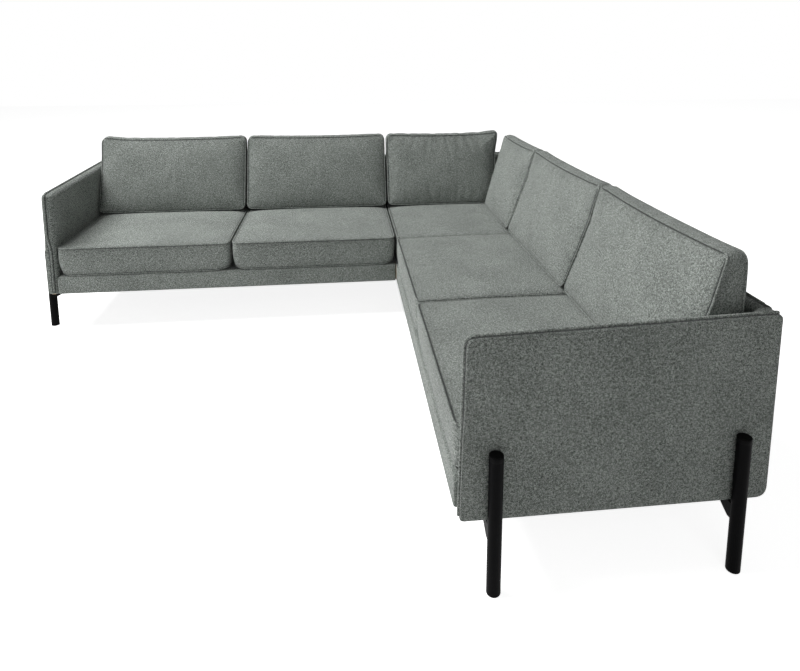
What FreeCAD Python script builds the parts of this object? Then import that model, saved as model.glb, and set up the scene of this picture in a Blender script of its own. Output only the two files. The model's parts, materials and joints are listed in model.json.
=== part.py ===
import FreeCAD, Part
import math
import os

import Sketcher
from FreeCAD import Placement, Rotation, Vector

# Corner sofa: two alike two-seat runs with one arm each, joined by a square corner unit.
# The frame is +Z up, with the floor at z = 0 and the origin below the middle of the footprint.
# The left run goes along -X from the corner, the right run goes along -Y from the corner.
# A place on a run is given by a, the distance from the outer corner along the run,
# and d, the distance from the outer back face towards the front.

doc = FreeCAD.newDocument("corner_sofa")
sheet = doc.addObject("Spreadsheet::Sheet", "Sizes")

SIZES = [
    ("seat_pitch", 880, "width of one seat place"),
    ("unit_depth", 900, "front to back of each run, and side of the corner unit"),
    ("arm_thick", 50, "thickness of an upholstered arm"),
    ("back_thick", 45, "thickness of the low upholstered back"),
    ("base_height", 205, "floor to the underside of the upholstery"),
    ("rail_height", 95, "height of the upholstered front rail"),
    ("rail_cover_depth", 50, "front to back of the upholstered front rail"),
    ("rail_skin", 25, "padding in front of the wooden front rail"),
    ("rail_hem", 8, "padding below the wooden rails"),
    ("rail_thick", 40, "thickness of the front and back rails"),
    ("cross_rail_thick", 25, "thickness of the rails that run front to back"),
    ("deck_thick", 10, "felted deck pad below the seat cushions"),
    ("webbing_thick", 2, "elastic webbing"),
    ("webbing_width", 70, "width of one webbing strap"),
    ("webbing_pitch", 125, "from one strap to the next"),
    ("webbing_lap", 35, "length of strap that lies on the back rail"),
    ("dust_cover_thick", 1.5, "lining below the frame"),
    ("panel_thick", 18, "plywood in the arms and backs"),
    ("back_height", 560, "height of the upholstered back above the base"),
    ("back_skin", 12, "padding over the top of the back panel"),
    ("back_edge_round", 11, "round along the top of the back"),
    ("arm_front_height", 535, "height of the arm above the base at the front"),
    ("arm_rear_height", 560, "height of the arm above the base at the rear"),
    ("arm_lean", 12, "how far the arm's front edge leans back"),
    ("arm_skin", 14, "padding round the arm panel's edges"),
    ("arm_front_radius", 33, "round of the arm's front top corner"),
    ("arm_foot_radius", 30, "round of the arm's rear bottom corner"),
    ("heel_skin", 4, "padding between the panel's cut corner and the round heel"),
    ("arm_edge_round", 21, "round along the arm's front and top"),
    ("arm_rear_round", 5, "round along the arm's rear and heel"),
    ("leg_dia", 40, "outer diameter of the leg tubes"),
    ("leg_wall", 2, "wall of the leg tubes"),
    ("leg_height", 415, "floor to the top of the leg's cap"),
    ("leg_inset", 100, "arm's end to the leg's centre"),
    ("cap_thick", 3, "rim of the leg's cap"),
    ("plug_length", 12, "part of a cap or glide that is inside the tube"),
    ("glide_height", 6, "glide below the leg tube"),
    ("glide_round", 3, "round of the glide's lower edge"),
    ("bracket_run", 75, "reach of the leg bracket beyond the tube"),
    ("bracket_drop", 45, "height of the leg bracket at the tube"),
    ("bracket_width", 38, "width of the leg bracket"),
    ("bracket_wall", 3, "side plates of the leg bracket"),
    ("bracket_flange", 5, "top plate of the leg bracket"),
    ("cut_over", 1, "how far a cut runs past the face that it opens"),
    ("foot_setback", 330, "outer back face to the joint feet"),
    ("corner_foot_reach", 120, "outer corner to the corner foot along the left run"),
    ("corner_foot_gap", 1, "back upholstery to the corner foot's top plate"),
    ("foot_plate_dia", 60, "top plate of a hidden foot"),
    ("foot_plate_thick", 5, "top plate of a hidden foot"),
    ("stud_dia", 8, "stud of a hidden foot"),
    ("stud_length", 50, "stud above the foot's top plate"),
    ("screw_dia", 5, "shank of the leg screws"),
    ("screw_head_dia", 10, "head of the leg screws"),
    ("screw_head_thick", 3, "head of the leg screws"),
    ("screw_length", 45, "leg screw's shank"),
    ("screw_spread", 20, "between the two screws of a leg"),
    ("bolt_dia", 8, "shank of the leg and connector bolts"),
    ("bolt_head_dia", 16, "head of the leg and connector bolts"),
    ("bolt_head_thick", 5, "head of the leg and connector bolts"),
    ("bolt_drop", 45, "leg's top to the leg bolt"),
    ("nut_thick", 7, "nut of a connector bolt"),
    ("connector_rear", 250, "outer back face to the rear connector bolt"),
    ("connector_front", 700, "outer back face to the front connector bolt"),
    ("cushion_gap", 5, "cushion's side to the edge of its seat place"),
    ("soft_gap", 0.3, "between soft pieces that rest on each other"),
    ("seat_setback", 2, "front of the unit to the seat cushion's top front seam"),
    ("seat_seam_height", 156, "deck to the seat cushion's top front seam"),
    ("seat_rear_height", 168, "deck to the seat cushion's top rear edge"),
    ("seat_crown", 176, "deck to the seat cushion's highest line"),
    ("seat_end_sink", 9, "how much lower the seat's crown is at its ends"),
    ("seat_front_bulge", 6, "swell of the seat cushion's front"),
    ("seat_end_bulge", 1, "swell of the seat cushion's front at its ends"),
    ("seat_draw", 4, "how far the seat's front is drawn in at its ends"),
    ("back_cushion_top", 700, "base to the back cushion's top seams"),
    ("back_foot", 205, "thickness of the back cushion where it sits"),
    ("back_top", 86, "thickness of the back cushion at its top seams"),
    ("back_lean", 154, "how far the front top seam leans behind the foot's front"),
    ("back_front_crown", 26, "swell of the back cushion's front"),
    ("back_rear_crown", 30, "swell of the back cushion's rear"),
    ("back_top_crown", 8, "swell of the back cushion's top"),
    ("back_draw", 12, "how much thinner the back cushion is at its ends"),
    ("back_ear", 8, "how much higher the back cushion's corners are"),
    ("corner_back_width", 715, "width of the corner's left back cushion"),
    ("corner_back_gap", 12, "between the two back cushions in the corner"),
    ("corner_back_reach", 120, "how far the right one's end leans over the left one"),
]

for row, (alias, value, note) in enumerate(SIZES, start=1):
    sheet.set(f"A{row}", note)
    sheet.set(f"B{row}", str(value))
    sheet.setAlias(f"B{row}", alias)
doc.recompute()


def number(expression):
    """The value of an expression in the sheet's aliases."""
    return float(sheet.evalExpression(expression))


# Places that several pieces share, as expressions in the driving dimensions.
RUN_LENGTH = "(Sizes.unit_depth + 2 * Sizes.seat_pitch + Sizes.arm_thick)"
HALF_SPAN = f"(({RUN_LENGTH} + Sizes.leg_dia) / 2)"
CORNER_END = "Sizes.unit_depth"
MIDDLE = "(Sizes.unit_depth + Sizes.seat_pitch)"
ARM_INSIDE = "(Sizes.unit_depth + 2 * Sizes.seat_pitch)"
BACK_FACE = "Sizes.back_thick"
BASE = "Sizes.base_height"
DECK = "(Sizes.base_height + Sizes.rail_height)"
WEB_TOP = f"({DECK} - Sizes.deck_thick)"
RAIL_TOP = f"({WEB_TOP} - Sizes.webbing_thick)"
RAIL_FOOT = "(Sizes.base_height + Sizes.rail_hem)"
RAIL_MIDDLE = f"(({RAIL_TOP} + {RAIL_FOOT}) / 2)"
LINING_FOOT = f"({RAIL_FOOT} - Sizes.dust_cover_thick)"
COVER_REAR = "(Sizes.unit_depth - Sizes.rail_cover_depth)"
FRONT_RAIL_FRONT = "(Sizes.unit_depth - Sizes.rail_skin)"
FRONT_RAIL_REAR = f"({FRONT_RAIL_FRONT} - Sizes.rail_thick)"
BACK_RAIL_FRONT = "(Sizes.back_thick + Sizes.rail_thick)"
BACK_TOP = "(Sizes.base_height + Sizes.back_height)"
PANEL_REAR = "((Sizes.back_thick - Sizes.panel_thick) / 2)"
PANEL_FRONT = "((Sizes.back_thick + Sizes.panel_thick) / 2)"
LEG_RADIUS = "(Sizes.leg_dia / 2)"
TUBE_TOP = "(Sizes.leg_height - Sizes.cap_thick)"
LEG_BOLT_HEIGHT = "(Sizes.leg_height - Sizes.bolt_drop)"


def bind(item, **expressions):
    """Ties the properties of an object to expressions in the sheet."""
    for name, expression in expressions.items():
        item.setExpression(name, expression)
    return item


def place(item, x, y, z):
    """Ties an object's place to expressions."""
    item.setExpression("Placement.Base.x", x)
    item.setExpression("Placement.Base.y", y)
    item.setExpression("Placement.Base.z", z)
    return item


def spot(run, a, d):
    """World x and y, as expressions, of a place on a run."""
    along = f"{HALF_SPAN} - ({a})"
    deep = f"{HALF_SPAN} - ({d})"
    return (along, deep) if run == "left" else (deep, along)


def box(name, run, a, d, z):
    """A box on a run, from three pairs of expressions."""
    item = doc.addObject("Part::Box", name)
    long_side = f"({a[1]}) - ({a[0]})"
    deep_side = f"({d[1]}) - ({d[0]})"
    sides = (long_side, deep_side) if run == "left" else (deep_side, long_side)
    bind(item, Length=sides[0], Width=sides[1], Height=f"({z[1]}) - ({z[0]})")
    x, y = spot(run, a[1], d[1])
    return place(item, x, y, z[0])


def upright(name, x, y, z, radius, height):
    """An upright cylinder that stands at z."""
    item = doc.addObject("Part::Cylinder", name)
    bind(item, Radius=radius, Height=height)
    return place(item, x, y, z)


INWARD = {"left": Rotation(Vector(0, 1, 0), 90), "right": Rotation(Vector(1, 0, 0), -90)}


def lying(name, run, a, d, z, radius, length):
    """A cylinder that starts at a and points along the run towards the corner."""
    item = doc.addObject("Part::Cylinder", name)
    item.Placement = Placement(Vector(0, 0, 0), INWARD[run])
    bind(item, Radius=radius, Height=length)
    x, y = spot(run, a, d)
    return place(item, x, y, z)


def fuse(name, pieces):
    """One solid from pieces that meet."""
    item = doc.addObject("Part::MultiFuse", name)
    item.Shapes = pieces
    return item


def group(name, pieces):
    """Separate solids that share one node."""
    item = doc.addObject("Part::Compound", name)
    item.Links = pieces
    return item


def same(first, second):
    """Whether two places along an axis agree to a hundredth of a millimetre."""
    return round(abs(first - second), 2) == 0


def edges_near(shape, test):
    """Numbers of a shape's edges for which a test of their middle point holds."""
    numbers = []
    for index, edge in enumerate(shape.Edges, start=1):
        middle = edge.valueAt((edge.FirstParameter + edge.LastParameter) / 2)
        if test(middle):
            numbers.append(index)
    return numbers


def rounded(name, blank, test, radius):
    """A piece with some of its edges rounded."""
    item = doc.addObject("Part::Fillet", name)
    item.Base = blank
    size = number(radius)
    item.Edges = [(index, size, size) for index in edges_near(blank.Shape, test)]
    return item


def rounded_top(name, blank, radius):
    """A block with its long top edges rounded."""
    doc.recompute()
    bounds = blank.Shape.BoundBox
    along_x = bounds.XLength > bounds.YLength

    def at_long_top(middle):
        if along_x:
            return same(middle.z, bounds.ZMax) and same(middle.x, bounds.Center.x)
        return same(middle.z, bounds.ZMax) and same(middle.y, bounds.Center.y)

    return rounded(name, blank, at_long_top, radius)


def cut(name, base, tool):
    """A piece with the room for another taken out of it."""
    item = doc.addObject("Part::Cut", name)
    item.Base = base
    item.Tool = tool
    return item


NODES = []


def node(item, label):
    """Names an object as a finished piece of the sofa."""
    item.Label = label
    NODES.append(item)
    return item


# Sketches for the pieces that are padded and pocketed. A sketch's own geometry has numbers
# below zero: -1 is its horizontal axis, whose start is the origin, and -2 its upright axis.


def origin_plane(body, role):
    """One of the body's own origin planes."""
    for feature in body.Origin.OriginFeatures:
        if feature.Role == role:
            return feature
    raise ValueError(role)


def sketch_on(body, name, role, offset="0"):
    """An empty sketch on an origin plane of a body, moved along its normal."""
    sketch = body.newObject("Sketcher::SketchObject", name)
    sketch.AttachmentSupport = [(origin_plane(body, role), "")]
    sketch.MapMode = "FlatFace"
    sketch.setExpression("AttachmentOffset.Base.z", offset)
    return sketch


def polygon(sketch, corners):
    """A closed outline whose corners are tied to pairs of expressions."""
    points = [Vector(number(x), number(y), 0) for x, y in corners]
    count = len(points)
    for index in range(count):
        sketch.addGeometry(Part.LineSegment(points[index], points[(index + 1) % count]), False)
    for index in range(count):
        following = (index + 1) % count
        sketch.addConstraint(Sketcher.Constraint("Coincident", index, 2, following, 1))
    for index, (x, y) in enumerate(corners):
        if x == "0":
            sketch.addConstraint(Sketcher.Constraint("PointOnObject", index, 1, -2))
        else:
            tie(sketch, "DistanceX", index, points[index].x, x)
        tie(sketch, "DistanceY", index, points[index].y, y)


def tie(sketch, kind, index, distance, expression):
    """Ties the start of a line to its distance from the sketch's origin."""
    constraint = Sketcher.Constraint(kind, -1, 1, index, 1, distance)
    row = sketch.addConstraint(constraint)
    sketch.setExpression(f"Constraints[{row}]", expression)


def circle(sketch, radius):
    """A circle about the sketch's origin."""
    index = sketch.addGeometry(Part.Circle(Vector(0, 0, 0), Vector(0, 0, 1), number(radius)), False)
    sketch.addConstraint(Sketcher.Constraint("Coincident", index, 3, -1, 1))
    row = sketch.addConstraint(Sketcher.Constraint("Radius", index, number(radius)))
    sketch.setExpression(f"Constraints[{row}]", radius)


def pad(body, sketch, name, length, midplane=False):
    """Raises a sketch into a solid."""
    feature = body.newObject("PartDesign::Pad", name)
    feature.Profile = sketch
    feature.Midplane = midplane
    feature.setExpression("Length", length)
    doc.recompute()
    return feature


def pocket(body, sketch, name, length, midplane=False, reverse=False):
    """Takes a sketch's depth out of a solid."""
    before = body.Shape.Volume
    feature = body.newObject("PartDesign::Pocket", name)
    feature.Profile = sketch
    feature.Midplane = midplane
    feature.Reversed = reverse
    feature.setExpression("Length", length)
    doc.recompute()
    if body.Shape.Volume >= before:
        raise ValueError(f"{name} cuts nothing")
    return feature


def fillet(body, base, name, test, radius):
    """Rounds the edges of a body's last feature for which a test holds."""
    feature = body.newObject("PartDesign::Fillet", name)
    feature.Base = (base, [f"Edge{index}" for index in edges_near(base.Shape, test)])
    feature.setExpression("Radius", radius)
    doc.recompute()
    return feature


# Arms: a plywood panel inside padding and fabric, open below

# In an arm's own frame X is its thickness and Y goes from the front to the back.
FRONT_TOP = f"({BASE} + Sizes.arm_front_height)"
REAR_TOP = f"({BASE} + Sizes.arm_rear_height)"
ARM_OUTLINE = [
    ("0", BASE),
    ("Sizes.arm_lean", FRONT_TOP),
    ("Sizes.unit_depth", REAR_TOP),
    ("Sizes.unit_depth", BASE),
]
PANEL_NOSE = "(Sizes.arm_front_radius / 2)"
PANEL_HEEL = "(Sizes.arm_foot_radius + Sizes.heel_skin)"
PANEL_OUTLINE = [
    ("Sizes.arm_skin", BASE),
    ("Sizes.arm_lean + Sizes.arm_skin", f"{FRONT_TOP} - Sizes.arm_skin - {PANEL_NOSE}"),
    (f"Sizes.arm_lean + Sizes.arm_skin + {PANEL_NOSE}", f"{FRONT_TOP} - Sizes.arm_skin"),
    ("Sizes.unit_depth - Sizes.arm_skin", f"{REAR_TOP} - Sizes.arm_skin"),
    ("Sizes.unit_depth - Sizes.arm_skin", f"{BASE} + {PANEL_HEEL}"),
    (f"Sizes.unit_depth - {PANEL_HEEL}", BASE),
]
PANEL_SIDE = "((Sizes.arm_thick - Sizes.panel_thick) / 2)"


def place_arm(body, run):
    """Puts an arm at the end of its run, with its front to the front."""
    if run == "left":
        x = f"{HALF_SPAN} - {RUN_LENGTH}"
        y = f"{HALF_SPAN} - Sizes.unit_depth"
    else:
        body.Placement = Placement(Vector(0, 0, 0), Rotation(Vector(0, 0, 1), -90))
        x = f"{HALF_SPAN} - Sizes.unit_depth"
        y = f"{HALF_SPAN} - {RUN_LENGTH} + Sizes.arm_thick"
    return place(body, x, y, "0")


def make_arm_cover(run):
    """Padded arm with its rounded front top corner and rear heel."""
    body = doc.addObject("PartDesign::Body", f"{run}_arm_padding")
    outline = sketch_on(body, f"{run}_arm_outline", "YZ_Plane")
    polygon(outline, ARM_OUTLINE)
    block = pad(body, outline, f"{run}_arm_block", "Sizes.arm_thick")
    lean = number("Sizes.arm_lean")
    depth = number("Sizes.unit_depth")
    base = number(BASE)
    front_top = number(FRONT_TOP)

    def at_front_top(middle):
        return same(middle.y, lean) and same(middle.z, front_top)

    def at_heel(middle):
        return same(middle.y, depth) and same(middle.z, base)

    nose = fillet(body, block, f"{run}_arm_nose", at_front_top, "Sizes.arm_front_radius")
    heel = fillet(body, nose, f"{run}_arm_heel", at_heel, "Sizes.arm_foot_radius")
    thick = number("Sizes.arm_thick")

    def on_a_face(middle):
        on_side = same(middle.x, 0) or same(middle.x, thick)
        return on_side and not same(middle.z, base)

    def at_front_or_top(middle):
        return on_a_face(middle) and (middle.y < depth / 2 or middle.z > front_top)

    def at_rear_or_heel(middle):
        return on_a_face(middle) and not at_front_or_top(middle)

    soft = fillet(body, heel, f"{run}_arm_edges", at_front_or_top, "Sizes.arm_edge_round")
    fillet(body, soft, f"{run}_arm_rear_edges", at_rear_or_heel, "Sizes.arm_rear_round")
    room = sketch_on(body, f"{run}_arm_room_outline", "YZ_Plane", PANEL_SIDE)
    polygon(room, PANEL_OUTLINE)
    pocket(body, room, f"{run}_arm_room", "Sizes.panel_thick", reverse=True)
    return place_arm(body, run)


def make_arm_panel(run):
    """Plywood panel that carries the arm, the rails and the legs."""
    body = doc.addObject("PartDesign::Body", f"{run}_arm_board")
    outline = sketch_on(body, f"{run}_arm_board_outline", "YZ_Plane", PANEL_SIDE)
    polygon(outline, PANEL_OUTLINE)
    pad(body, outline, f"{run}_arm_board_block", "Sizes.panel_thick")
    return place_arm(body, run)


# Legs: a steel tube on the arm's outer face with a folded bracket under the arm

LEG_TURN = {"left": Rotation(), "right": Rotation(Vector(0, 0, 1), 90)}
LEG_PLACES = {"front": "Sizes.unit_depth - Sizes.leg_inset", "rear": "Sizes.leg_inset"}
LEG_LINE = f"({RUN_LENGTH} + {LEG_RADIUS})"


def make_leg(run, end):
    """Leg tube with its bracket, in its own frame with X pointing under the sofa."""
    name = f"{run}_{end}_leg"
    body = doc.addObject("PartDesign::Body", f"{name}_tube")
    ring = sketch_on(body, f"{name}_ring", "XY_Plane", "Sizes.glide_height")
    circle(ring, LEG_RADIUS)
    pad(body, ring, f"{name}_rod", f"{TUBE_TOP} - Sizes.glide_height")
    side = sketch_on(body, f"{name}_bracket_side", "XZ_Plane")
    reach = f"{LEG_RADIUS} + Sizes.bracket_run"
    polygon(side, [
        ("0", BASE),
        (reach, BASE),
        (reach, f"{BASE} - Sizes.bracket_flange"),
        (LEG_RADIUS, f"{BASE} - Sizes.bracket_drop"),
        ("0", f"{BASE} - Sizes.bracket_drop"),
    ])
    pad(body, side, f"{name}_bracket", "Sizes.bracket_width", midplane=True)
    fold = sketch_on(body, f"{name}_bracket_fold", "XZ_Plane")
    inside = f"{LEG_RADIUS} + Sizes.bracket_wall"
    outside = f"{reach} + Sizes.cut_over"
    below = f"{BASE} - Sizes.bracket_drop - Sizes.cut_over"
    polygon(fold, [
        (inside, f"{BASE} - Sizes.bracket_flange"),
        (outside, f"{BASE} - Sizes.bracket_flange"),
        (outside, below),
        (inside, below),
    ])
    pocket(body, fold, f"{name}_bracket_hollow", "Sizes.bracket_width - 2 * Sizes.bracket_wall",
           midplane=True)
    bore = sketch_on(body, f"{name}_bore_ring", "XY_Plane", "Sizes.glide_height")
    circle(bore, f"{LEG_RADIUS} - Sizes.leg_wall")
    pocket(body, bore, f"{name}_bore", f"{TUBE_TOP} - Sizes.glide_height", reverse=True)
    body.Placement = Placement(Vector(0, 0, 0), LEG_TURN[run])
    x, y = spot(run, LEG_LINE, LEG_PLACES[end])
    return place(body, x, y, "0")


def make_cap(run, end):
    """Flat cap with a plug inside the tube's top."""
    name = f"{run}_{end}_cap"
    x, y = spot(run, LEG_LINE, LEG_PLACES[end])
    plug = upright(f"{name}_plug", x, y, f"{TUBE_TOP} - Sizes.plug_length",
                   f"{LEG_RADIUS} - Sizes.leg_wall", "Sizes.plug_length")
    rim = upright(f"{name}_rim", x, y, TUBE_TOP, LEG_RADIUS, "Sizes.cap_thick")
    return fuse(name, [plug, rim])


def make_glide(name, x, y):
    """Rounded glide with a plug inside the tube's foot."""
    plug = upright(f"{name}_plug", x, y, "Sizes.glide_height",
                   f"{LEG_RADIUS} - Sizes.leg_wall", "Sizes.plug_length")
    shoe = upright(f"{name}_shoe", x, y, "0", LEG_RADIUS, "Sizes.glide_height")
    whole = fuse(f"{name}_whole", [plug, shoe])
    doc.recompute()

    def at_floor(middle):
        return same(middle.z, 0)

    return rounded(name, whole, at_floor, "Sizes.glide_round")


def make_leg_screws(run, end):
    """Two wood screws through a leg's bracket into the arm panel."""
    screws = []
    for side in (-1, 1):
        name = f"{run}_{end}_leg_screw_{'rear' if side < 0 else 'front'}"
        d = f"{LEG_PLACES[end]} + {side} * Sizes.screw_spread / 2"
        x, y = spot(run, f"{RUN_LENGTH} - Sizes.arm_thick / 2", d)
        under = f"{BASE} - Sizes.bracket_flange"
        head = upright(f"{name}_head", x, y, f"{under} - Sizes.screw_head_thick",
                       "Sizes.screw_head_dia / 2", "Sizes.screw_head_thick")
        shank = upright(f"{name}_shank", x, y, under, "Sizes.screw_dia / 2", "Sizes.screw_length")
        screws.append(fuse(name, [head, shank]))
    return screws


def make_leg_bolt(run, end):
    """Bolt from inside the arm panel, through the padding, into the leg tube."""
    name = f"{run}_{end}_leg_bolt"
    d = LEG_PLACES[end]
    inner_face = f"({RUN_LENGTH} - {PANEL_SIDE} - Sizes.panel_thick)"
    tip = f"({RUN_LENGTH} + {LEG_RADIUS})"
    shank = lying(f"{name}_shank", run, tip, d, LEG_BOLT_HEIGHT, "Sizes.bolt_dia / 2",
                  f"{tip} - {inner_face}")
    head = lying(f"{name}_head", run, f"{inner_face} + Sizes.bolt_head_thick", d, LEG_BOLT_HEIGHT,
                 "Sizes.bolt_head_dia / 2", "Sizes.bolt_head_thick")
    return fuse(name, [shank, head])


# Hidden feet: a shorter tube with a top plate and a stud into a rail

JOINT_FOOT_A = f"{CORNER_END} + Sizes.cross_rail_thick / 2"
CORNER_FOOT_D = f"{BACK_FACE} + Sizes.corner_foot_gap + Sizes.foot_plate_dia / 2"
FEET = {
    "left_joint_foot": ("left", JOINT_FOOT_A, "Sizes.foot_setback"),
    "right_joint_foot": ("right", JOINT_FOOT_A, "Sizes.foot_setback"),
    "corner_foot": ("left", "Sizes.corner_foot_reach", CORNER_FOOT_D),
}


def make_foot(name):
    """Tube, top plate and stud of a foot that stands out of sight."""
    run, a, d = FEET[name]
    x, y = spot(run, a, d)
    plate_foot = f"({LINING_FOOT} - Sizes.foot_plate_thick)"
    tube = upright(f"{name}_rod", x, y, "Sizes.glide_height", LEG_RADIUS,
                   f"{plate_foot} - Sizes.glide_height")
    bore = upright(f"{name}_bore", x, y, "Sizes.glide_height", f"{LEG_RADIUS} - Sizes.leg_wall",
                   f"{plate_foot} - Sizes.glide_height")
    pipe = cut(f"{name}_pipe", tube, bore)
    plate = upright(f"{name}_plate", x, y, plate_foot, "Sizes.foot_plate_dia / 2",
                    "Sizes.foot_plate_thick")
    stud = upright(f"{name}_stud", x, y, LINING_FOOT, "Sizes.stud_dia / 2", "Sizes.stud_length")
    return fuse(f"{name}_whole", [pipe, plate, stud])


# Connector bolts between each run and the corner unit

def make_connector(run, rear_or_front):
    """A bolt and its nut through the two rails that meet at a joint."""
    name = f"{run}_{rear_or_front}_connector"
    d = f"Sizes.connector_{rear_or_front}"
    far_face = f"({CORNER_END} + Sizes.cross_rail_thick)"
    near_face = f"({CORNER_END} - Sizes.cross_rail_thick)"
    shank = lying(f"{name}_shank", run, far_face, d, RAIL_MIDDLE, "Sizes.bolt_dia / 2",
                  "2 * Sizes.cross_rail_thick + Sizes.nut_thick")
    head = lying(f"{name}_head", run, f"{far_face} + Sizes.bolt_head_thick", d, RAIL_MIDDLE,
                 "Sizes.bolt_head_dia / 2", "Sizes.bolt_head_thick")
    bolt = fuse(f"{name}_bolt", [shank, head])
    blank = lying(f"{name}_nut_blank", run, near_face, d, RAIL_MIDDLE, "Sizes.bolt_head_dia / 2",
                  "Sizes.nut_thick")
    nut = cut(f"{name}_nut", blank, shank)
    return [bolt, nut]


# Rails, webbing, deck, lining, back and front rail cover

RAIL_Z = (RAIL_FOOT, RAIL_TOP)
WEB_Z = (RAIL_TOP, WEB_TOP)
DECK_Z = (WEB_TOP, DECK)
LINING_Z = (LINING_FOOT, RAIL_FOOT)
BACK_Z = (BASE, BACK_TOP)
BACK_PANEL_Z = (BASE, f"{BACK_TOP} - Sizes.back_skin")
RUN_A = (CORNER_END, ARM_INSIDE)
BACK_D = ("0", BACK_FACE)
BACK_PANEL_D = (PANEL_REAR, PANEL_FRONT)


def make_straps(name, run, start, end, d):
    """Webbing straps that lie across the rails, side by side."""
    pitch = number("Sizes.webbing_pitch")
    width = number("Sizes.webbing_width")
    room = number(f"({end}) - ({start})")
    count = max(1, int((room - width) // pitch) + 1)
    margin = f"((({end}) - ({start}) - Sizes.webbing_width - {count - 1} * Sizes.webbing_pitch) / 2)"
    straps = []
    for index in range(count):
        first = f"({start}) + {margin} + {index} * Sizes.webbing_pitch"
        a = (first, f"{first} + Sizes.webbing_width")
        straps.append(box(f"{name}_{index + 1}", run, a, d, WEB_Z))
    return group(name, straps)


def make_run(run, connectors, screws, bolts, feet):
    """Every fixed piece of one two-seat run, with the room that its fasteners need."""
    rails = {
        "front_rail": (RUN_A, (FRONT_RAIL_REAR, FRONT_RAIL_FRONT)),
        "back_rail": (RUN_A, (BACK_FACE, BACK_RAIL_FRONT)),
    }
    half = "Sizes.cross_rail_thick / 2"
    cross_d = (BACK_RAIL_FRONT, FRONT_RAIL_REAR)
    rails["joint_rail"] = ((CORNER_END, f"{CORNER_END} + Sizes.cross_rail_thick"), cross_d)
    rails["middle_rail"] = ((f"{MIDDLE} - {half}", f"{MIDDLE} + {half}"), cross_d)
    rails["arm_rail"] = ((f"{ARM_INSIDE} - Sizes.cross_rail_thick", ARM_INSIDE), cross_d)
    for name, (a, d) in rails.items():
        if name == "joint_rail":
            blank = box(f"{run}_{name}_blank", run, a, d, RAIL_Z)
            tools = group(f"{run}_{name}_holes", [connectors, feet[f"{run}_joint_foot"]])
            node(cut(f"{run}_{name}", blank, tools), f"{run}_{name}")
        else:
            node(box(f"{run}_{name}", run, a, d, RAIL_Z), f"{run}_{name}")

    strap_d = (f"{BACK_RAIL_FRONT} - Sizes.webbing_lap", COVER_REAR)
    node(make_straps(f"{run}_straps", run, RUN_A[0], RUN_A[1], strap_d), f"{run}_seat_webbing")
    node(box(f"{run}_deck", run, RUN_A, (BACK_FACE, COVER_REAR), DECK_Z), f"{run}_seat_deck")
    lining = box(f"{run}_lining_blank", run, RUN_A, (BACK_FACE, COVER_REAR), LINING_Z)
    node(cut(f"{run}_lining", lining, feet[f"{run}_joint_foot"]), f"{run}_dust_cover")

    cover = box(f"{run}_rail_cover_blank", run, RUN_A, (COVER_REAR, "Sizes.unit_depth"), (BASE, DECK))
    room = box(f"{run}_rail_room", run, RUN_A, (FRONT_RAIL_REAR, FRONT_RAIL_FRONT), RAIL_Z)
    node(cut(f"{run}_rail_cover", cover, room), f"{run}_rail_cover")

    blank = box(f"{run}_back_blank", run, RUN_A, BACK_D, BACK_Z)
    padding = rounded_top(f"{run}_back_block", blank, "Sizes.back_edge_round")
    inside = box(f"{run}_back_room", run, RUN_A, BACK_PANEL_D, BACK_PANEL_Z)
    node(cut(f"{run}_back_padding", padding, inside), f"{run}_back_cover")
    node(box(f"{run}_back_board", run, RUN_A, BACK_PANEL_D, BACK_PANEL_Z), f"{run}_back_panel")

    fixings = group(f"{run}_arm_fixings", [screws, bolts])
    node(cut(f"{run}_arm_upholstery", make_arm_cover(run), fixings), f"{run}_arm_cover")
    node(cut(f"{run}_arm_plywood", make_arm_panel(run), fixings), f"{run}_arm_panel")
    for end in ("front", "rear"):
        node(cut(f"{run}_{end}_leg_drilled", make_leg(run, end), fixings), f"{run}_{end}_leg")


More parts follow.
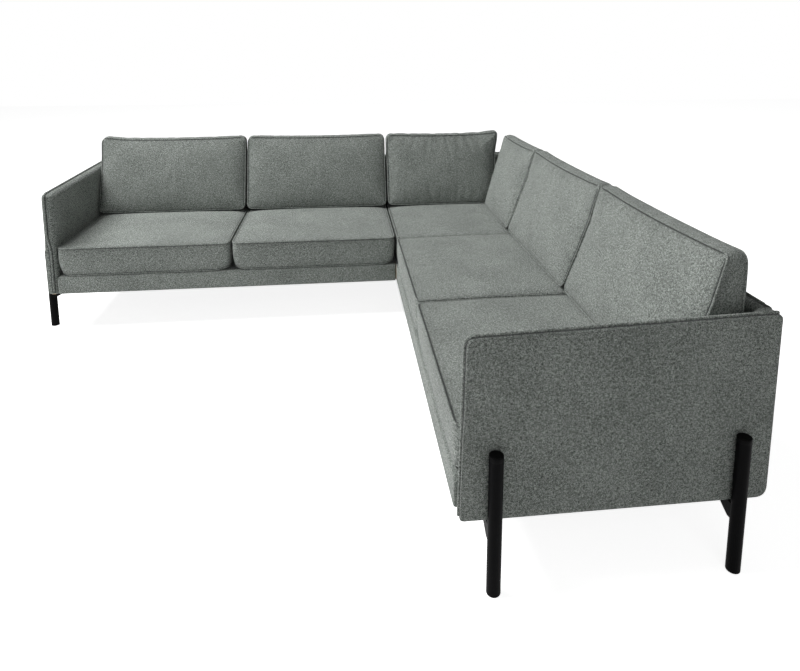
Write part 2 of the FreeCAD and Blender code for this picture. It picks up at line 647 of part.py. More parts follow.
def make_corner(connectors, feet):
    """Every fixed piece of the square corner unit."""
    inner = f"{CORNER_END} - Sizes.cross_rail_thick"
    blank = box("corner_left_joint_blank", "left", (inner, CORNER_END), (BACK_FACE, CORNER_END), RAIL_Z)
    node(cut("corner_left_joint", blank, connectors), "corner_joint_rail_left")
    blank = box("corner_right_joint_blank", "right", (inner, CORNER_END), (BACK_FACE, inner), RAIL_Z)
    node(cut("corner_right_joint", blank, connectors), "corner_joint_rail_right")
    back_rail_d = (BACK_FACE, BACK_RAIL_FRONT)
    blank = box("corner_left_rear_blank", "left", (BACK_FACE, inner), back_rail_d, RAIL_Z)
    node(cut("corner_left_rear", blank, feet["corner_foot"]), "corner_rear_rail_left")
    right_a = (BACK_RAIL_FRONT, inner)
    node(box("corner_right_rear", "right", right_a, back_rail_d, RAIL_Z), "corner_rear_rail_right")

    square = (BACK_FACE, CORNER_END)
    strap_d = (f"{BACK_RAIL_FRONT} - Sizes.webbing_lap", CORNER_END)
    node(make_straps("corner_straps", "left", BACK_FACE, CORNER_END, strap_d), "corner_seat_webbing")
    node(box("corner_deck", "left", square, square, DECK_Z), "corner_seat_deck")
    lining = box("corner_lining_blank", "left", square, square, LINING_Z)
    node(cut("corner_lining", lining, feet["corner_foot"]), "corner_dust_cover")

    blank = box("corner_left_back_blank", "left", ("0", CORNER_END), BACK_D, BACK_Z)
    padding = rounded_top("corner_left_back_block", blank, "Sizes.back_edge_round")
    panel_a = (PANEL_REAR, CORNER_END)
    inside = box("corner_left_back_room", "left", panel_a, BACK_PANEL_D, BACK_PANEL_Z)
    node(cut("corner_left_back_padding", padding, inside), "corner_back_cover_left")
    node(box("corner_left_board", "left", panel_a, BACK_PANEL_D, BACK_PANEL_Z), "corner_back_panel_left")
    blank = box("corner_right_back_blank", "right", square, BACK_D, BACK_Z)
    padding = rounded_top("corner_right_back_block", blank, "Sizes.back_edge_round")
    inside = box("corner_right_back_room", "right", square, BACK_PANEL_D, BACK_PANEL_Z)
    node(cut("corner_right_back_padding", padding, inside), "corner_back_cover_right")
    node(box("corner_right_board", "right", square, BACK_PANEL_D, BACK_PANEL_Z),
         "corner_back_panel_right")


# Cushions: crowned closed forms, lofted through outlines of lines and arcs

SEAT_TOP = f"({DECK} + Sizes.seat_crown)"


def world(run, a, d, z):
    """A point of the sofa from its place on a run."""
    half_span = number(HALF_SPAN)
    if run == "left":
        return Vector(half_span - a, half_span - d, z)
    return Vector(half_span - d, half_span - a, z)


def bowed(run, slope, start, end, swell):
    """An arc between two outline points that swells to the right of their line."""
    step_d = end[0] - start[0]
    step_z = end[1] - start[1]
    length = math.hypot(step_d, step_z)
    middle = ((start[0] + end[0]) / 2 + swell * step_z / length,
              (start[1] + end[1]) / 2 - swell * step_d / length)
    points = [world(run, slope(z), d, z) for d, z in (start, middle, end)]
    return Part.Arc(*points).toShape()


def straight(run, slope, start, end):
    """A straight edge between two outline points."""
    return Part.LineSegment(*[world(run, slope(z), d, z) for d, z in (start, end)]).toShape()


def circle_through(first, second, third):
    """Centre and radius of the circle through three points of the outline."""
    arc = Part.Arc(*[Vector(d, z, 0) for d, z in (first, second, third)]).toShape()
    return arc.Curve.Center, arc.Curve.Radius


def lofted(label, wires):
    """A cushion's solid from its outlines."""
    solid = Part.makeLoft(wires, True, False)
    item = doc.addObject("Part::Feature", label)
    item.Shape = solid
    item.Placement = Placement()
    return node(item, label)


def seat_cushion(label, run, start, end):
    """Boxed seat cushion with a crowned top and a slightly swollen front."""
    deck = number(DECK)
    rear = number("Sizes.back_thick + Sizes.cushion_gap")
    front = number("Sizes.unit_depth - Sizes.seat_setback")
    foot = deck + number("Sizes.soft_gap")
    wires = []
    for share, a in ((1, start), (0, (start + end) / 2), (1, end)):
        draw = share * number("Sizes.seat_draw")
        sink = share * number("Sizes.seat_end_sink")
        bulge = number("Sizes.seat_end_bulge") if share else number("Sizes.seat_front_bulge")
        rear_foot = (rear, foot)
        front_foot = (front - draw, foot)
        front_seam = (front - draw, deck + number("Sizes.seat_seam_height") - sink / 2)
        crown = ((front + rear) / 2, deck + number("Sizes.seat_crown") - sink)
        rear_seam = (rear, deck + number("Sizes.seat_rear_height") - sink)

        def here(z, a=a):
            return a

        top = Part.Arc(*[world(run, a, d, z) for d, z in (front_seam, crown, rear_seam)]).toShape()
        wires.append(Part.Wire([
            straight(run, here, rear_foot, front_foot),
            bowed(run, here, front_foot, front_seam, bulge),
            top,
            straight(run, here, rear_seam, rear_foot),
        ]))
    return lofted(label, wires)


def bearing_height(seat, run, start, end, rear, front):
    """Highest point of a seat cushion below a back cushion's foot."""
    low = world(run, start, rear, 0)
    high = world(run, end, front, 0)
    corner = Vector(min(low.x, high.x), min(low.y, high.y), 0)
    tall = number(BACK_TOP)
    column = Part.makeBox(abs(high.x - low.x), abs(high.y - low.y), tall, corner)
    return seat.Shape.common(column).optimalBoundingBox().ZMax


def back_outline(foot_z, top_z, rear, thin, ear):
    """Corner points of a back cushion's outline: rear foot, front foot, front top, rear top."""
    foot = number("Sizes.back_foot") - thin
    lean = number("Sizes.back_lean")
    top = number("Sizes.back_top") - thin
    front = rear + foot + thin / 2
    rear = rear + thin / 2
    front_top = front - lean
    return ((rear, foot_z), (front, foot_z), (front_top, top_z + ear), (front_top - top, top_z + ear))


def rear_swell_reach(outline, swell):
    """How far behind the outline's rear foot its swollen rear reaches."""
    rear_foot, _, _, rear_top = outline
    step_d = rear_foot[0] - rear_top[0]
    step_z = rear_foot[1] - rear_top[1]
    length = math.hypot(step_d, step_z)
    middle = ((rear_foot[0] + rear_top[0]) / 2 + swell * step_z / length,
              (rear_foot[1] + rear_top[1]) / 2 - swell * step_d / length)
    centre, radius = circle_through(rear_top, middle, rear_foot)
    return rear_foot[0] - (centre.x - radius)


def back_rear():
    """Depth of a back cushion's rear foot, with its swollen rear against the low back."""
    top_z = number(f"{BASE} + Sizes.back_cushion_top")
    outline = back_outline(number(SEAT_TOP), top_z, 0, 0, 0)
    reach = rear_swell_reach(outline, number("Sizes.back_rear_crown"))
    return number("Sizes.back_thick + Sizes.soft_gap") + reach


def back_cushion(label, run, start, end, seat, end_slant=0):
    """Back cushion that leans on the low back, swollen in front and behind, with raised corners."""
    top_z = number(f"{BASE} + Sizes.back_cushion_top")
    rear_crown = number("Sizes.back_rear_crown")
    front_crown = number("Sizes.back_front_crown")
    top_crown = number("Sizes.back_top_crown")
    rear = back_rear()
    front = rear + number("Sizes.back_foot")
    foot_z = bearing_height(seat, run, start, end, rear, front) + number("Sizes.soft_gap")
    wires = []
    for share, a, slant in ((1, start, end_slant), (0, (start + end) / 2, end_slant / 2), (1, end, 0)):
        thin = share * number("Sizes.back_draw")
        ear = share * number("Sizes.back_ear")
        rear_foot, front_foot, front_top, rear_top = back_outline(foot_z, top_z, rear, thin, ear)

        def here(z, a=a, slant=slant):
            return a - slant * (z - foot_z)

        wires.append(Part.Wire([
            straight(run, here, rear_foot, front_foot),
            bowed(run, here, front_foot, front_top, front_crown * (1 - share / 2)),
            bowed(run, here, front_top, rear_top, top_crown * (1 - share / 2)),
            bowed(run, here, rear_top, rear_foot, rear_crown * (1 - share / 2)),
        ]))
    return lofted(label, wires)


def make_cushions():
    """Five seat cushions and six back cushions."""
    gap = number("Sizes.cushion_gap")
    corner = number(CORNER_END)
    middle = number(MIDDLE)
    arm = number(ARM_INSIDE)
    for run in ("left", "right"):
        places = {"outer": (middle + gap, arm - gap), "inner": (corner + gap, middle - gap)}
        for place_name, (start, end) in places.items():
            seat = seat_cushion(f"{run}_{place_name}_seat_cushion", run, start, end)
            back_cushion(f"{run}_{place_name}_back_cushion", run, start, end, seat)
    inner_end = number("Sizes.back_thick") + gap
    seat = seat_cushion("corner_seat_cushion", "left", inner_end, corner - gap)
    start = corner - gap - number("Sizes.corner_back_width")
    back_cushion("corner_left_back_cushion", "left", start, corner - gap, seat)
    start = back_rear() + number("Sizes.back_foot + Sizes.back_front_crown + Sizes.corner_back_gap")
    slant = number(f"Sizes.corner_back_reach / ({BASE} + Sizes.back_cushion_top - {SEAT_TOP})")
    back_cushion("corner_right_back_cushion", "right", start, corner - gap, seat, slant)


# Fasteners and feet come first, because the pieces that they pass through are cut to them.
ENDS = [(run, end) for run in ("left", "right") for end in ("front", "rear")]
all_screws = group("all_leg_screws", [s for run, end in ENDS for s in make_leg_screws(run, end)])
all_bolts = group("all_leg_bolts", [make_leg_bolt(run, end) for run, end in ENDS])
pairs = [(run, end) for run in ("left", "right") for end in ("rear", "front")]
all_connectors = group("all_connectors", [s for run, end in pairs for s in make_connector(run, end)])
hidden_feet = {name: make_foot(name) for name in FEET}
node(all_screws, "leg_screws")
node(all_bolts, "leg_bolts")
node(all_connectors, "connector_bolts")
for foot_name, foot in hidden_feet.items():
    node(foot, foot_name)

make_run("left", all_connectors, all_screws, all_bolts, hidden_feet)
make_run("right", all_connectors, all_screws, all_bolts, hidden_feet)
make_corner(all_connectors, hidden_feet)
node(group("all_caps", [make_cap(run, end) for run, end in ENDS]), "leg_caps")
glides = []
for run, end in ENDS:
    x, y = spot(run, LEG_LINE, LEG_PLACES[end])
    glides.append(make_glide(f"{run}_{end}_glide", x, y))
for foot_name, (run, a, d) in FEET.items():
    x, y = spot(run, a, d)
    glides.append(make_glide(f"{foot_name}_glide", x, y))
node(group("all_glides", glides), "leg_glides")
make_cushions()

doc.recompute()

for item in doc.Objects:
    if "Invalid" in item.State or "Error" in item.State:
        raise ValueError(f"{item.Label} failed: {item.State}")
labels = [item.Label for item in NODES]
if len(set(labels)) != len(labels) or len(labels) > 60:
    raise ValueError("node names repeat, or there are too many")
os.makedirs("parts", exist_ok=True)
for item in NODES:
    if item.Shape.isNull() or not item.Shape.isValid():
        raise ValueError(f"{item.Label} has no valid shape")
    item.Shape.exportStep(os.path.join("parts", f"{item.Label}.step"))
print(len(NODES), "nodes,", sum(len(item.Shape.Solids) for item in NODES), "solids")
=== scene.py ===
import json
import math

import bpy
import numpy as np
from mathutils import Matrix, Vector, noise

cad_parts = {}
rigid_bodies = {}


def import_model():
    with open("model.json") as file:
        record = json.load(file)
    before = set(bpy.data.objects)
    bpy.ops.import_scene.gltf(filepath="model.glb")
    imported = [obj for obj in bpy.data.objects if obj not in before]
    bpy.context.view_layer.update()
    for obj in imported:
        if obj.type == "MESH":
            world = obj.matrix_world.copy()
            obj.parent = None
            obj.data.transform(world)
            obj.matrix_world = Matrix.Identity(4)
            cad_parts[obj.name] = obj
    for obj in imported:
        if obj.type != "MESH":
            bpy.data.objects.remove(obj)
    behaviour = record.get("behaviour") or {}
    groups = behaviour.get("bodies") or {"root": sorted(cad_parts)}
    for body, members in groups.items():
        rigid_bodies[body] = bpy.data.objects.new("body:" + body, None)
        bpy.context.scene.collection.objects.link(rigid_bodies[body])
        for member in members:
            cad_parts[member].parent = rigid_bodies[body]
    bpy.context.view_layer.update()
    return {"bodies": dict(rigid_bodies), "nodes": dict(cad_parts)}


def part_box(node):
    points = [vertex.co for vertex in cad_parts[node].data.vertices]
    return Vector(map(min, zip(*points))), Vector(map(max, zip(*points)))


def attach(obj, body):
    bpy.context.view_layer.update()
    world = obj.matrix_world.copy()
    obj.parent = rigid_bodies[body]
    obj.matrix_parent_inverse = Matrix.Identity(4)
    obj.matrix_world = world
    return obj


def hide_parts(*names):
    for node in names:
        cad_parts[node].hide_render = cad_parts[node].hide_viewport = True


# Corner sofa in woven fabric: cushions, arms, low backs and rails as sewn covers over the frame.
# All measures are in metres. A place on a run is a, the distance from the outer corner along
# the run, and d, the distance from the outer back face towards the front.

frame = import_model()

RUNS = ("left", "right")
HALF_SPAN = 1.375
SEAT_PITCH = 0.880
UNIT_DEPTH = 0.900
BASE = 0.205
DECK = 0.300
BACK_TOP = 0.765
BACK_THICK = 0.045
ARM_THICK = 0.050
RAIL_THICK = 0.050
CUSHION_GAP = 0.005
UNIT_MIDDLE = UNIT_DEPTH + SEAT_PITCH
ARM_INSIDE = UNIT_DEPTH + 2 * SEAT_PITCH


# Places and small helpers

SEED_SHIFT = 7.31


def on_run(run, a, d, z):
    """World places from places on a run, which are numbers or arrays."""
    a, d, z = np.broadcast_arrays(*[np.asarray(value, float) for value in (a, d, z)])
    x, y = (a, d) if run == "left" else (d, a)
    return np.stack([HALF_SPAN - x, HALF_SPAN - y, z], axis=-1)


def on_panel(run, places):
    """World places from (a, d, z) places."""
    return on_run(run, places[..., 0], places[..., 1], places[..., 2])


def ease(value):
    """0 to 1, smooth at both ends."""
    value = np.clip(value, 0, 1)
    return value * value * (3 - 2 * value)


def waves(points, size, seed):
    """Smooth noise over the first two measures of points, about -1 to 1, with bumps of that size."""
    flat = (points * (1, 1, 0)).reshape(-1, 3) / size + seed * SEED_SHIFT
    values = [noise.noise(Vector(place)) for place in flat]
    return np.array(values).reshape(points.shape[:-1])


def rectangle(across, up, inset=0.0):
    """Corners of a rectangle from its two ranges."""
    return [(across[0] + inset, up[0] + inset), (across[1] - inset, up[0] + inset),
            (across[1] - inset, up[1] - inset), (across[0] + inset, up[1] - inset)]


def linked(name, data):
    """A new object in the scene, from its mesh, lamp or camera."""
    thing = bpy.data.objects.new(name, data)
    bpy.context.collection.objects.link(thing)
    return thing


def new_piece(name, points, edges, faces):
    """A new mesh object."""
    mesh = bpy.data.meshes.new(name)
    mesh.from_pydata([[float(value) for value in place] for place in points], edges, faces)
    return linked(name, mesh)


# Panels and borders: the cut pieces that a cover is sewn from

ARC_STEPS = 16
FIRST_STEP = 0.35
SECOND_STEP = 0.75


def border(across, up):
    """Lattice places once round a panel, starting at its first corner."""
    bottom = [(i, 0) for i in range(across)]
    right = [(across, j) for j in range(up)]
    top = [(i, up) for i in range(across, 0, -1)]
    left = [(0, j) for j in range(up, 0, -1)]
    return bottom + right + top + left


def lengths_along(path):
    """The length along a path up to each of its points."""
    steps = np.linalg.norm(np.diff(path, axis=0), axis=1)
    return np.concatenate([[0], np.cumsum(steps)])


def spread(count, close):
    """Shares from 0 to 1 along a seam, in even steps or closer together near its ends."""
    if not close:
        return np.linspace(0, 1, count + 1)
    steps = np.ones(count)
    steps[0] = steps[-1] = FIRST_STEP
    steps[1] = steps[-2] = SECOND_STEP
    return np.concatenate([[0], np.cumsum(steps)]) / steps.sum()


def rounded_corner(before, corner, after, radius):
    """Points of the arc that rounds a corner of an outline."""
    back = (before - corner) / np.linalg.norm(before - corner)
    ahead = (after - corner) / np.linalg.norm(after - corner)
    angle = math.acos(float(np.clip(back @ ahead, -1, 1)))
    middle = back + ahead
    centre = corner + middle / np.linalg.norm(middle) * radius / math.sin(angle / 2)
    start = corner + back * radius / math.tan(angle / 2) - centre
    end = corner + ahead * radius / math.tan(angle / 2) - centre
    turn = math.pi - angle
    shares = np.arange(ARC_STEPS + 1)[:, None] / ARC_STEPS
    return centre + (np.sin((1 - shares) * turn) * start + np.sin(shares * turn) * end) / math.sin(turn)


def rounded_outline(corners, radii, counts, close=False):
    """Points round a four-cornered outline, spread from one corner's middle to the next."""
    corners, radii = np.array(corners, float), np.broadcast_to(radii, 4)
    arcs = [rounded_corner(corners[k - 1], corners[k], corners[(k + 1) % 4], radii[k])
            for k in range(4)]
    half = ARC_STEPS // 2
    points = []
    for k in range(4):
        path = np.concatenate([arcs[k][half:], arcs[(k + 1) % 4][:half + 1]])
        lengths = lengths_along(path)
        stops = spread(counts[k % 2], close)[:-1] * lengths[-1]
        points.append(np.stack([np.interp(stops, lengths, path[:, axis]) for axis in range(2)], 1))
    return np.concatenate(points)


def outline_normals(ring):
    """Outward directions at the points of an outline in a plane."""
    ahead = np.roll(ring[:, :2], -1, axis=0) - np.roll(ring[:, :2], 1, axis=0)
    normals = np.column_stack([ahead[:, 1], -ahead[:, 0]])
    normals /= np.linalg.norm(normals, axis=1)[:, None]
    area = np.sum(ring[:, 0] * np.roll(ring[:, 1], -1) - np.roll(ring[:, 0], -1) * ring[:, 1])
    return normals if area > 0 else -normals


def filled(ring, counts, close=False):
    """A panel's lattice, spread smoothly inside its border."""
    grid = np.zeros((counts[0] + 1, counts[1] + 1, ring.shape[1]))
    for place, (i, j) in zip(ring, border(*counts)):
        grid[i, j] = place
    u = spread(counts[0], close)[:, None, None]
    v = spread(counts[1], close)[None, :, None]
    sides = (1 - v) * grid[:, :1] + v * grid[:, -1:] + (1 - u) * grid[:1] + u * grid[-1:]
    corners = ((1 - u) * (1 - v) * grid[0, 0] + u * (1 - v) * grid[-1, 0]
               + (1 - u) * v * grid[0, -1] + u * v * grid[-1, -1])
    inside = sides - corners
    inside[0], inside[-1] = grid[0], grid[-1]
    inside[:, 0], inside[:, -1] = grid[:, 0], grid[:, -1]
    return inside


def edge_distance(grid, across, up, inset=0.0):
    """How far a lattice's places lie inside a rectangle, and 0 on the lattice's own border."""
    u, v = grid[..., 0], grid[..., 1]
    edge = np.minimum(np.minimum(u - across[0], across[1] - u), np.minimum(v - up[0], up[1] - v))
    edge = np.clip(edge - inset, 0, 1)
    edge[0] = edge[-1] = edge[:, 0] = edge[:, -1] = 0
    return edge


class Cover:
    """A closed cover: a rear panel (side 0), a front panel (side 1) and the boxing between them."""

    def __init__(self, rear, front, boxing, rear_cloth, front_cloth, boxing_depth, seam):
        self.across, self.up = rear.shape[0] - 1, rear.shape[1] - 1
        self.round = border(self.across, self.up)
        self.panel_size = (self.across + 1) * (self.up + 1)
        self.points = np.concatenate([rear.reshape(-1, 3), front.reshape(-1, 3),
                                      np.array(boxing).reshape(-1, 3)])
        self.seam = seam
        self.faces, self.cloth = [], []
        self.lay_panel(0, rear_cloth)
        self.lay_panel(1, front_cloth)
        self.lay_boxing(len(boxing), boxing_depth)

    def at(self, side, i, j):
        """Vertex number of a panel's lattice place."""
        return side * self.panel_size + i * (self.up + 1) + j

    def rim(self, side):
        """Vertex numbers round a panel."""
        return [self.at(side, i, j) for i, j in self.round]

    def panel(self, side):
        """Vertex numbers of a panel."""
        return np.arange(side * self.panel_size, (side + 1) * self.panel_size)

    def lay_panel(self, side, cloth):
        """Adds a panel's faces, with the places of its flat cloth."""
        for i in range(self.across):
            for j in range(self.up):
                places = [(i, j), (i + 1, j), (i + 1, j + 1), (i, j + 1)]
                if side:
                    places.reverse()
                self.faces.append([self.at(side, p, q) for p, q in places])
                self.cloth.extend(cloth[p, q] for p, q in places)

    def lay_boxing(self, layers, depth):
        """Adds the faces of the strip between the panels."""
        count = len(self.round)
        start = 2 * self.panel_size
        middle = [list(range(start + layer * count, start + (layer + 1) * count))
                  for layer in range(layers)]
        rings = [self.rim(0), *middle, self.rim(1)]
        places = self.points[rings[0]]
        along = lengths_along(np.vstack([places, places[:1]]))
        depths = np.linspace(0, depth, len(rings))
        for layer in range(layers + 1):
            below, above = rings[layer], rings[layer + 1]
            low, high = depths[layer], depths[layer + 1]
            for k in range(count):
                n = (k + 1) % count
                self.faces.append([below[n], below[k], above[k], above[n]])
                self.cloth.extend([(along[k + 1], low), (along[k], low), (along[k], high),
                                   (along[k + 1], high)])

    def build(self, name):
        """A Blender object with outward faces and the cloth's own lengths as its UV map."""
        corners, cloth = np.array(self.faces), np.array(self.cloth)
        a, b, c, e = [self.points[corners[:, k]] for k in range(4)]
        if np.sum((np.cross(b - a, c - a) + np.cross(c - a, e - a)) * a) < 0:
            corners = corners[:, ::-1]
            cloth = cloth.reshape(-1, 4, 2)[:, ::-1].reshape(-1, 2)
        piece = new_piece(name, self.points, [], corners.tolist())
        mesh = piece.data
        mesh.uv_layers.new(name="weave").data.foreach_set("uv", cloth.astype(float).ravel())
        # The "seam" attribute holds how much shade the cloth materials paint near each vertex by a seam.
        seam = mesh.attributes.new("seam", "FLOAT", "POINT")
        seam.data.foreach_set("value", self.seam.astype(float))
        mesh.shade_smooth()
        mesh.update()
        return piece


def joined(covers):
    """Several covers as one."""
    first = covers[0]
    for cover in covers[1:]:
        offset = len(first.points)
        first.faces.extend([offset + k for k in face] for face in cover.faces)
        first.cloth.extend(cover.cloth)
        first.points = np.concatenate([first.points, cover.points])
        first.seam = np.concatenate([first.seam, cover.seam])
    return first


def plain_mesh(piece):
    """Gives a piece its evaluated shape as a plain mesh, and removes its modifiers."""
    graph = bpy.context.evaluated_depsgraph_get()
    graph.update()
    mesh = bpy.data.meshes.new_from_object(piece.evaluated_get(graph), preserve_all_data_layers=True,
                                           depsgraph=graph)
    mesh.name = piece.name
    piece.modifiers.clear()
    piece.data = mesh


def smoothed(piece):
    """One round of subdivision, applied."""
    modifier = piece.modifiers.new("soften", "SUBSURF")
    modifier.levels = modifier.render_levels = 1
    modifier.uv_smooth = "PRESERVE_BOUNDARIES"
    plain_mesh(piece)
    piece.data.shade_smooth()
    return piece


def finish_piece(piece, node, slot, body="sofa_frame"):
    """Dresses a piece, lets it ride on a body and stand for its node."""
    piece.data.materials.clear()
    piece.data.materials.append(MATERIALS[slot])
    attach(piece, body)
    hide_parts(node)


# Seams of the cushions, and the shade painted beside them

SEAM_TUCK = 0.0034
SEAM_ROW = 0.0045


def seam_shade_strength(away):
    """Shade painted beside a seam: 1 on it, a sharp part within a few millimetres and a soft part within
    some centimetres.
    """
    return 0.6 * np.exp(-np.maximum(away - 0.0025, 0) / 0.0040) + 0.4 * np.exp(-away / 0.040)


def seam_shade_marks(edge, shares, around, height):
    """How near each vertex of two panels and of the boxing between them is to a seam, as the strength of
    the shade painted there.
    """
    panel = seam_shade_strength(edge.ravel())
    rows = [seam_shade_strength(np.full(around, min(share, 1 - share) * height)) for share in shares]
    return np.concatenate([panel, panel, *rows])


def seam_shares(layers, height):
    """Heights of a boxing's rows as shares, with a narrow row beside each seam."""
    first, second = SEAM_ROW / height, 2.6 * SEAM_ROW / height
    return [first, *np.linspace(second, 1 - second, layers - 2), 1 - first]


# Seat cushions

SEAT_REAR = 0.050
SEAT_FRONT = 0.898
SEAT_FOOT = DECK + 0.0008
SEAT_HEIGHT = 0.156
SEAT_STEP = 0.0138
SEAT_ROWS = 60
SEAT_BOXING_ROWS = 12
SEAT_RADII = (0.038, 0.038, 0.034, 0.034)
SEAT_REAR_RISE = 0.168
SEAT_CROWN_RISE = 0.176
SEAT_SINK = 0.009
SEAT_SWELL_REACH = 0.095
SEAT_CORNER_REACH = 0.042
SEAT_CORNER_LIFT = 0.014


def cad_seat_top(t, d):
    """Height of the seat cushion's solid; t is -1 to 1 from end to end."""
    sink = SEAT_SINK * t * t
    front, rear = DECK + SEAT_HEIGHT - sink / 2, DECK + SEAT_REAR_RISE - sink
    rise = DECK + SEAT_CROWN_RISE - sink - (rear + front) / 2
    share = (d - SEAT_REAR) / (SEAT_FRONT - SEAT_REAR)
    return rear * (1 - share) + front * share + 4 * rise * share * (1 - share)


def seat_cover(run, start, end):
    """Design shape of a seat cushion: a top panel, a bottom panel and boxing, softly crowned."""
    side_air, end_air = 0.003, 0.002
    width = end - start
    counts = (round(width / SEAT_STEP), SEAT_ROWS)
    rear, front = SEAT_REAR + end_air, SEAT_FRONT - end_air
    rim = rounded_outline(rectangle((start + side_air, end - side_air), (rear, front)), SEAT_RADII,
                          counts, close=True)

    def across_share(places):
        """-1 to 1 from end to end."""
        return (places[..., 0] - (start + end) / 2) / (width / 2)

    rim_height = DECK + 0.1530 + 0.004 * ease((SEAT_FRONT - rim[:, 1]) / 0.3)
    top_ring = np.column_stack([rim, rim_height])
    top = filled(top_ring, counts, close=True)
    edge = edge_distance(top, (start, end), (rear, front), side_air)
    swell = 1 - (1 - np.clip(edge / SEAT_SWELL_REACH, 0, 1)) ** 2.6
    crown = cad_seat_top(across_share(top), top[..., 1]) - 0.002
    top[..., 2] += (crown - top[..., 2]) * swell - SEAM_TUCK * np.exp(-edge / 0.004)
    top_ring[:, 2] -= SEAM_TUCK

    outward = outline_normals(rim)
    corner_pull = np.exp(-((np.abs(across_share(rim)) - 1) * width / 2 / SEAT_CORNER_REACH) ** 2)
    corner_pull *= np.exp(-((front - rim[:, 1]) / SEAT_CORNER_REACH) ** 2)
    foot = rim - outward * (0.004 + 0.012 * corner_pull)[:, None]
    foot_ring = np.column_stack([foot, SEAT_FOOT + 0.004 + SEAT_CORNER_LIFT * corner_pull])
    bottom = filled(foot_ring, counts, close=True)
    bottom[..., 2] += (SEAT_FOOT - bottom[..., 2]) * ease(edge / 0.045)

    front_share = np.clip(outward[:, 1], 0, 1) ** 2
    boxing, shares = [], seam_shares(SEAT_BOXING_ROWS, SEAT_HEIGHT)
    for share in shares:
        bow = (4 * share * (1 - share)) ** 0.6
        bulge = (0.0034 + 0.0042 * front_share * (1 - across_share(rim) ** 2)) * bow
        low = corner_pull * (1 - share) ** 1.5 * share * 2.2
        ring = foot_ring * (1 - share) + top_ring * share
        ring[:, :2] += outward * (bulge + 0.020 * low)[:, None]
        boxing.append(on_panel(run, ring))
    return Cover(on_panel(run, bottom), on_panel(run, top), boxing, bottom[..., :2], top[..., :2],
                 SEAT_HEIGHT, seam_shade_marks(edge, shares, len(rim), SEAT_HEIGHT))


# Back cushions

BACK_FOOT_Z = 0.4763
BACK_TOP_Z = 0.905
BACK_REAR_D = 0.0953
BACK_FOOT = 0.205
BACK_TIP = 0.086
BACK_LEAN = 0.154
FRONT_BULGE = 0.026
REAR_BULGE = 0.030
BACK_SLOPE = 0.457
BACK_BOXING = 0.13
BACK_STEP = 0.0125
BACK_ROWS = 39
BACK_BOXING_ROWS = 11
BACK_FOOT_RADIUS = 0.028
BACK_TOP_RADIUS = 0.032


def cad_back(t, v, front):
    """Depths and heights of the back cushion's solid in front or behind; v is 0 to 1 upwards."""
    thin, ear = 0.012 * t * t, 0.008 * t * t
    foot, lean, bulge = BACK_REAR_D + BACK_FOOT - thin / 2, BACK_LEAN, FRONT_BULGE
    tip = foot - lean
    if not front:
        foot, tip = BACK_REAR_D + thin / 2, tip - (BACK_TIP - thin)
        lean, bulge = BACK_LEAN + BACK_TIP - BACK_FOOT, -REAR_BULGE
    angle = math.atan2(lean, BACK_TOP_Z - BACK_FOOT_Z)
    swell = bulge * 4 * v * (1 - v) * (1 - t * t / 2)
    z = BACK_FOOT_Z + (BACK_TOP_Z + ear - BACK_FOOT_Z) * v
    return foot + (tip - foot) * v + swell * math.cos(angle), z + swell * math.sin(angle)


def back_cover(run, start, end, slant, ears, tip=0.033):
    """Design shape of a back cushion: front and rear panels with boxing between them.
    ears gives how far the top corners near start and end stand up, hang forward and reach out,
    and tip is the radius of the top corner near start."""
    width = end - start
    counts = (round(width / BACK_STEP), BACK_ROWS)
    sides, slope = (-width / 2, width / 2), (0, BACK_SLOPE)
    radii = (BACK_FOOT_RADIUS, BACK_FOOT_RADIUS, BACK_TOP_RADIUS, tip)
    flat = rounded_outline(rectangle(sides, slope), radii, counts, close=True)
    grid = filled(flat, counts, close=True)

    def placed(places, side, edge):
        """Places on the run of flat places on the front (1) or the rear (0)."""
        share, v = places[..., 0] / (width / 2), places[..., 1] / BACK_SLOPE
        d, z = cad_back(share, v, side == 1)
        begin = start - slant * (z - BACK_FOOT_Z)
        a = (begin + end) / 2 + share * ((end - begin) / 2 - 0.004)
        at_end = np.exp(-(1 - np.abs(share)) * width / 2 / 0.060)
        at_rim = (1 - np.clip(edge / 0.095, 0, 1)) ** 2.3
        pull = 0.002 + 0.009 * at_rim + SEAM_TUCK * np.exp(-edge / 0.004)
        pull = pull + 0.016 * at_end * (4 * v * (1 - v)) ** 1.3 * (1 if side else 0.3)
        top = ease((v - 0.62) / 0.38)
        for way, (rise, hang, out) in zip((-1, 1), ears):
            ear = top * ease((way * share - 0.60) / 0.40) ** 1.5
            a = a + way * out * ear
            z = z + rise * ear
            pull = pull - hang * ear * (1 if side else -0.4)
        z = z - 0.004 * (2 * v - 1)
        return np.stack([a, d - pull if side else d + pull, z], axis=-1)

    edge = edge_distance(grid, sides, slope)
    on_seam = np.zeros(len(flat))
    front_ring, rear_ring = placed(flat, 1, on_seam), placed(flat, 0, on_seam)
    outward = outline_normals(flat)
    boxing, shares = [], seam_shares(BACK_BOXING_ROWS, BACK_BOXING)
    for share in shares:
        bow = (4 * share * (1 - share)) ** 0.7
        ring = rear_ring * (1 - share) + front_ring * share
        ring[:, 0] += outward[:, 0] * 0.0036 * bow
        ring[:, 2] += outward[:, 1] * np.where(outward[:, 1] > 0, 0.0085, 0.0030) * bow
        boxing.append(on_panel(run, ring))
    return Cover(on_panel(run, placed(grid, 0, edge)), on_panel(run, placed(grid, 1, edge)), boxing,
                 grid, grid, BACK_BOXING, seam_shade_marks(edge, shares, len(flat), BACK_BOXING))


# Soft parts settle: the covers are blown up a little as cloth, and keep their seams

CLOTH = {
    "quality": 5,
    "mass": 0.35,
    "tension_stiffness": 12,
    "compression_stiffness": 12,
    "shear_stiffness": 4,
    "bending_stiffness": 1.2,
    "shrink_min": -0.018,
    "shrink_max": -0.018,
    "use_pressure": True,
    "uniform_pressure_force": 4,
    "vertex_group_mass": "seams",
}
SETTLE_FRAMES = 20
BROAD_ROUNDS = 24
CREASE_CAP = 0.006


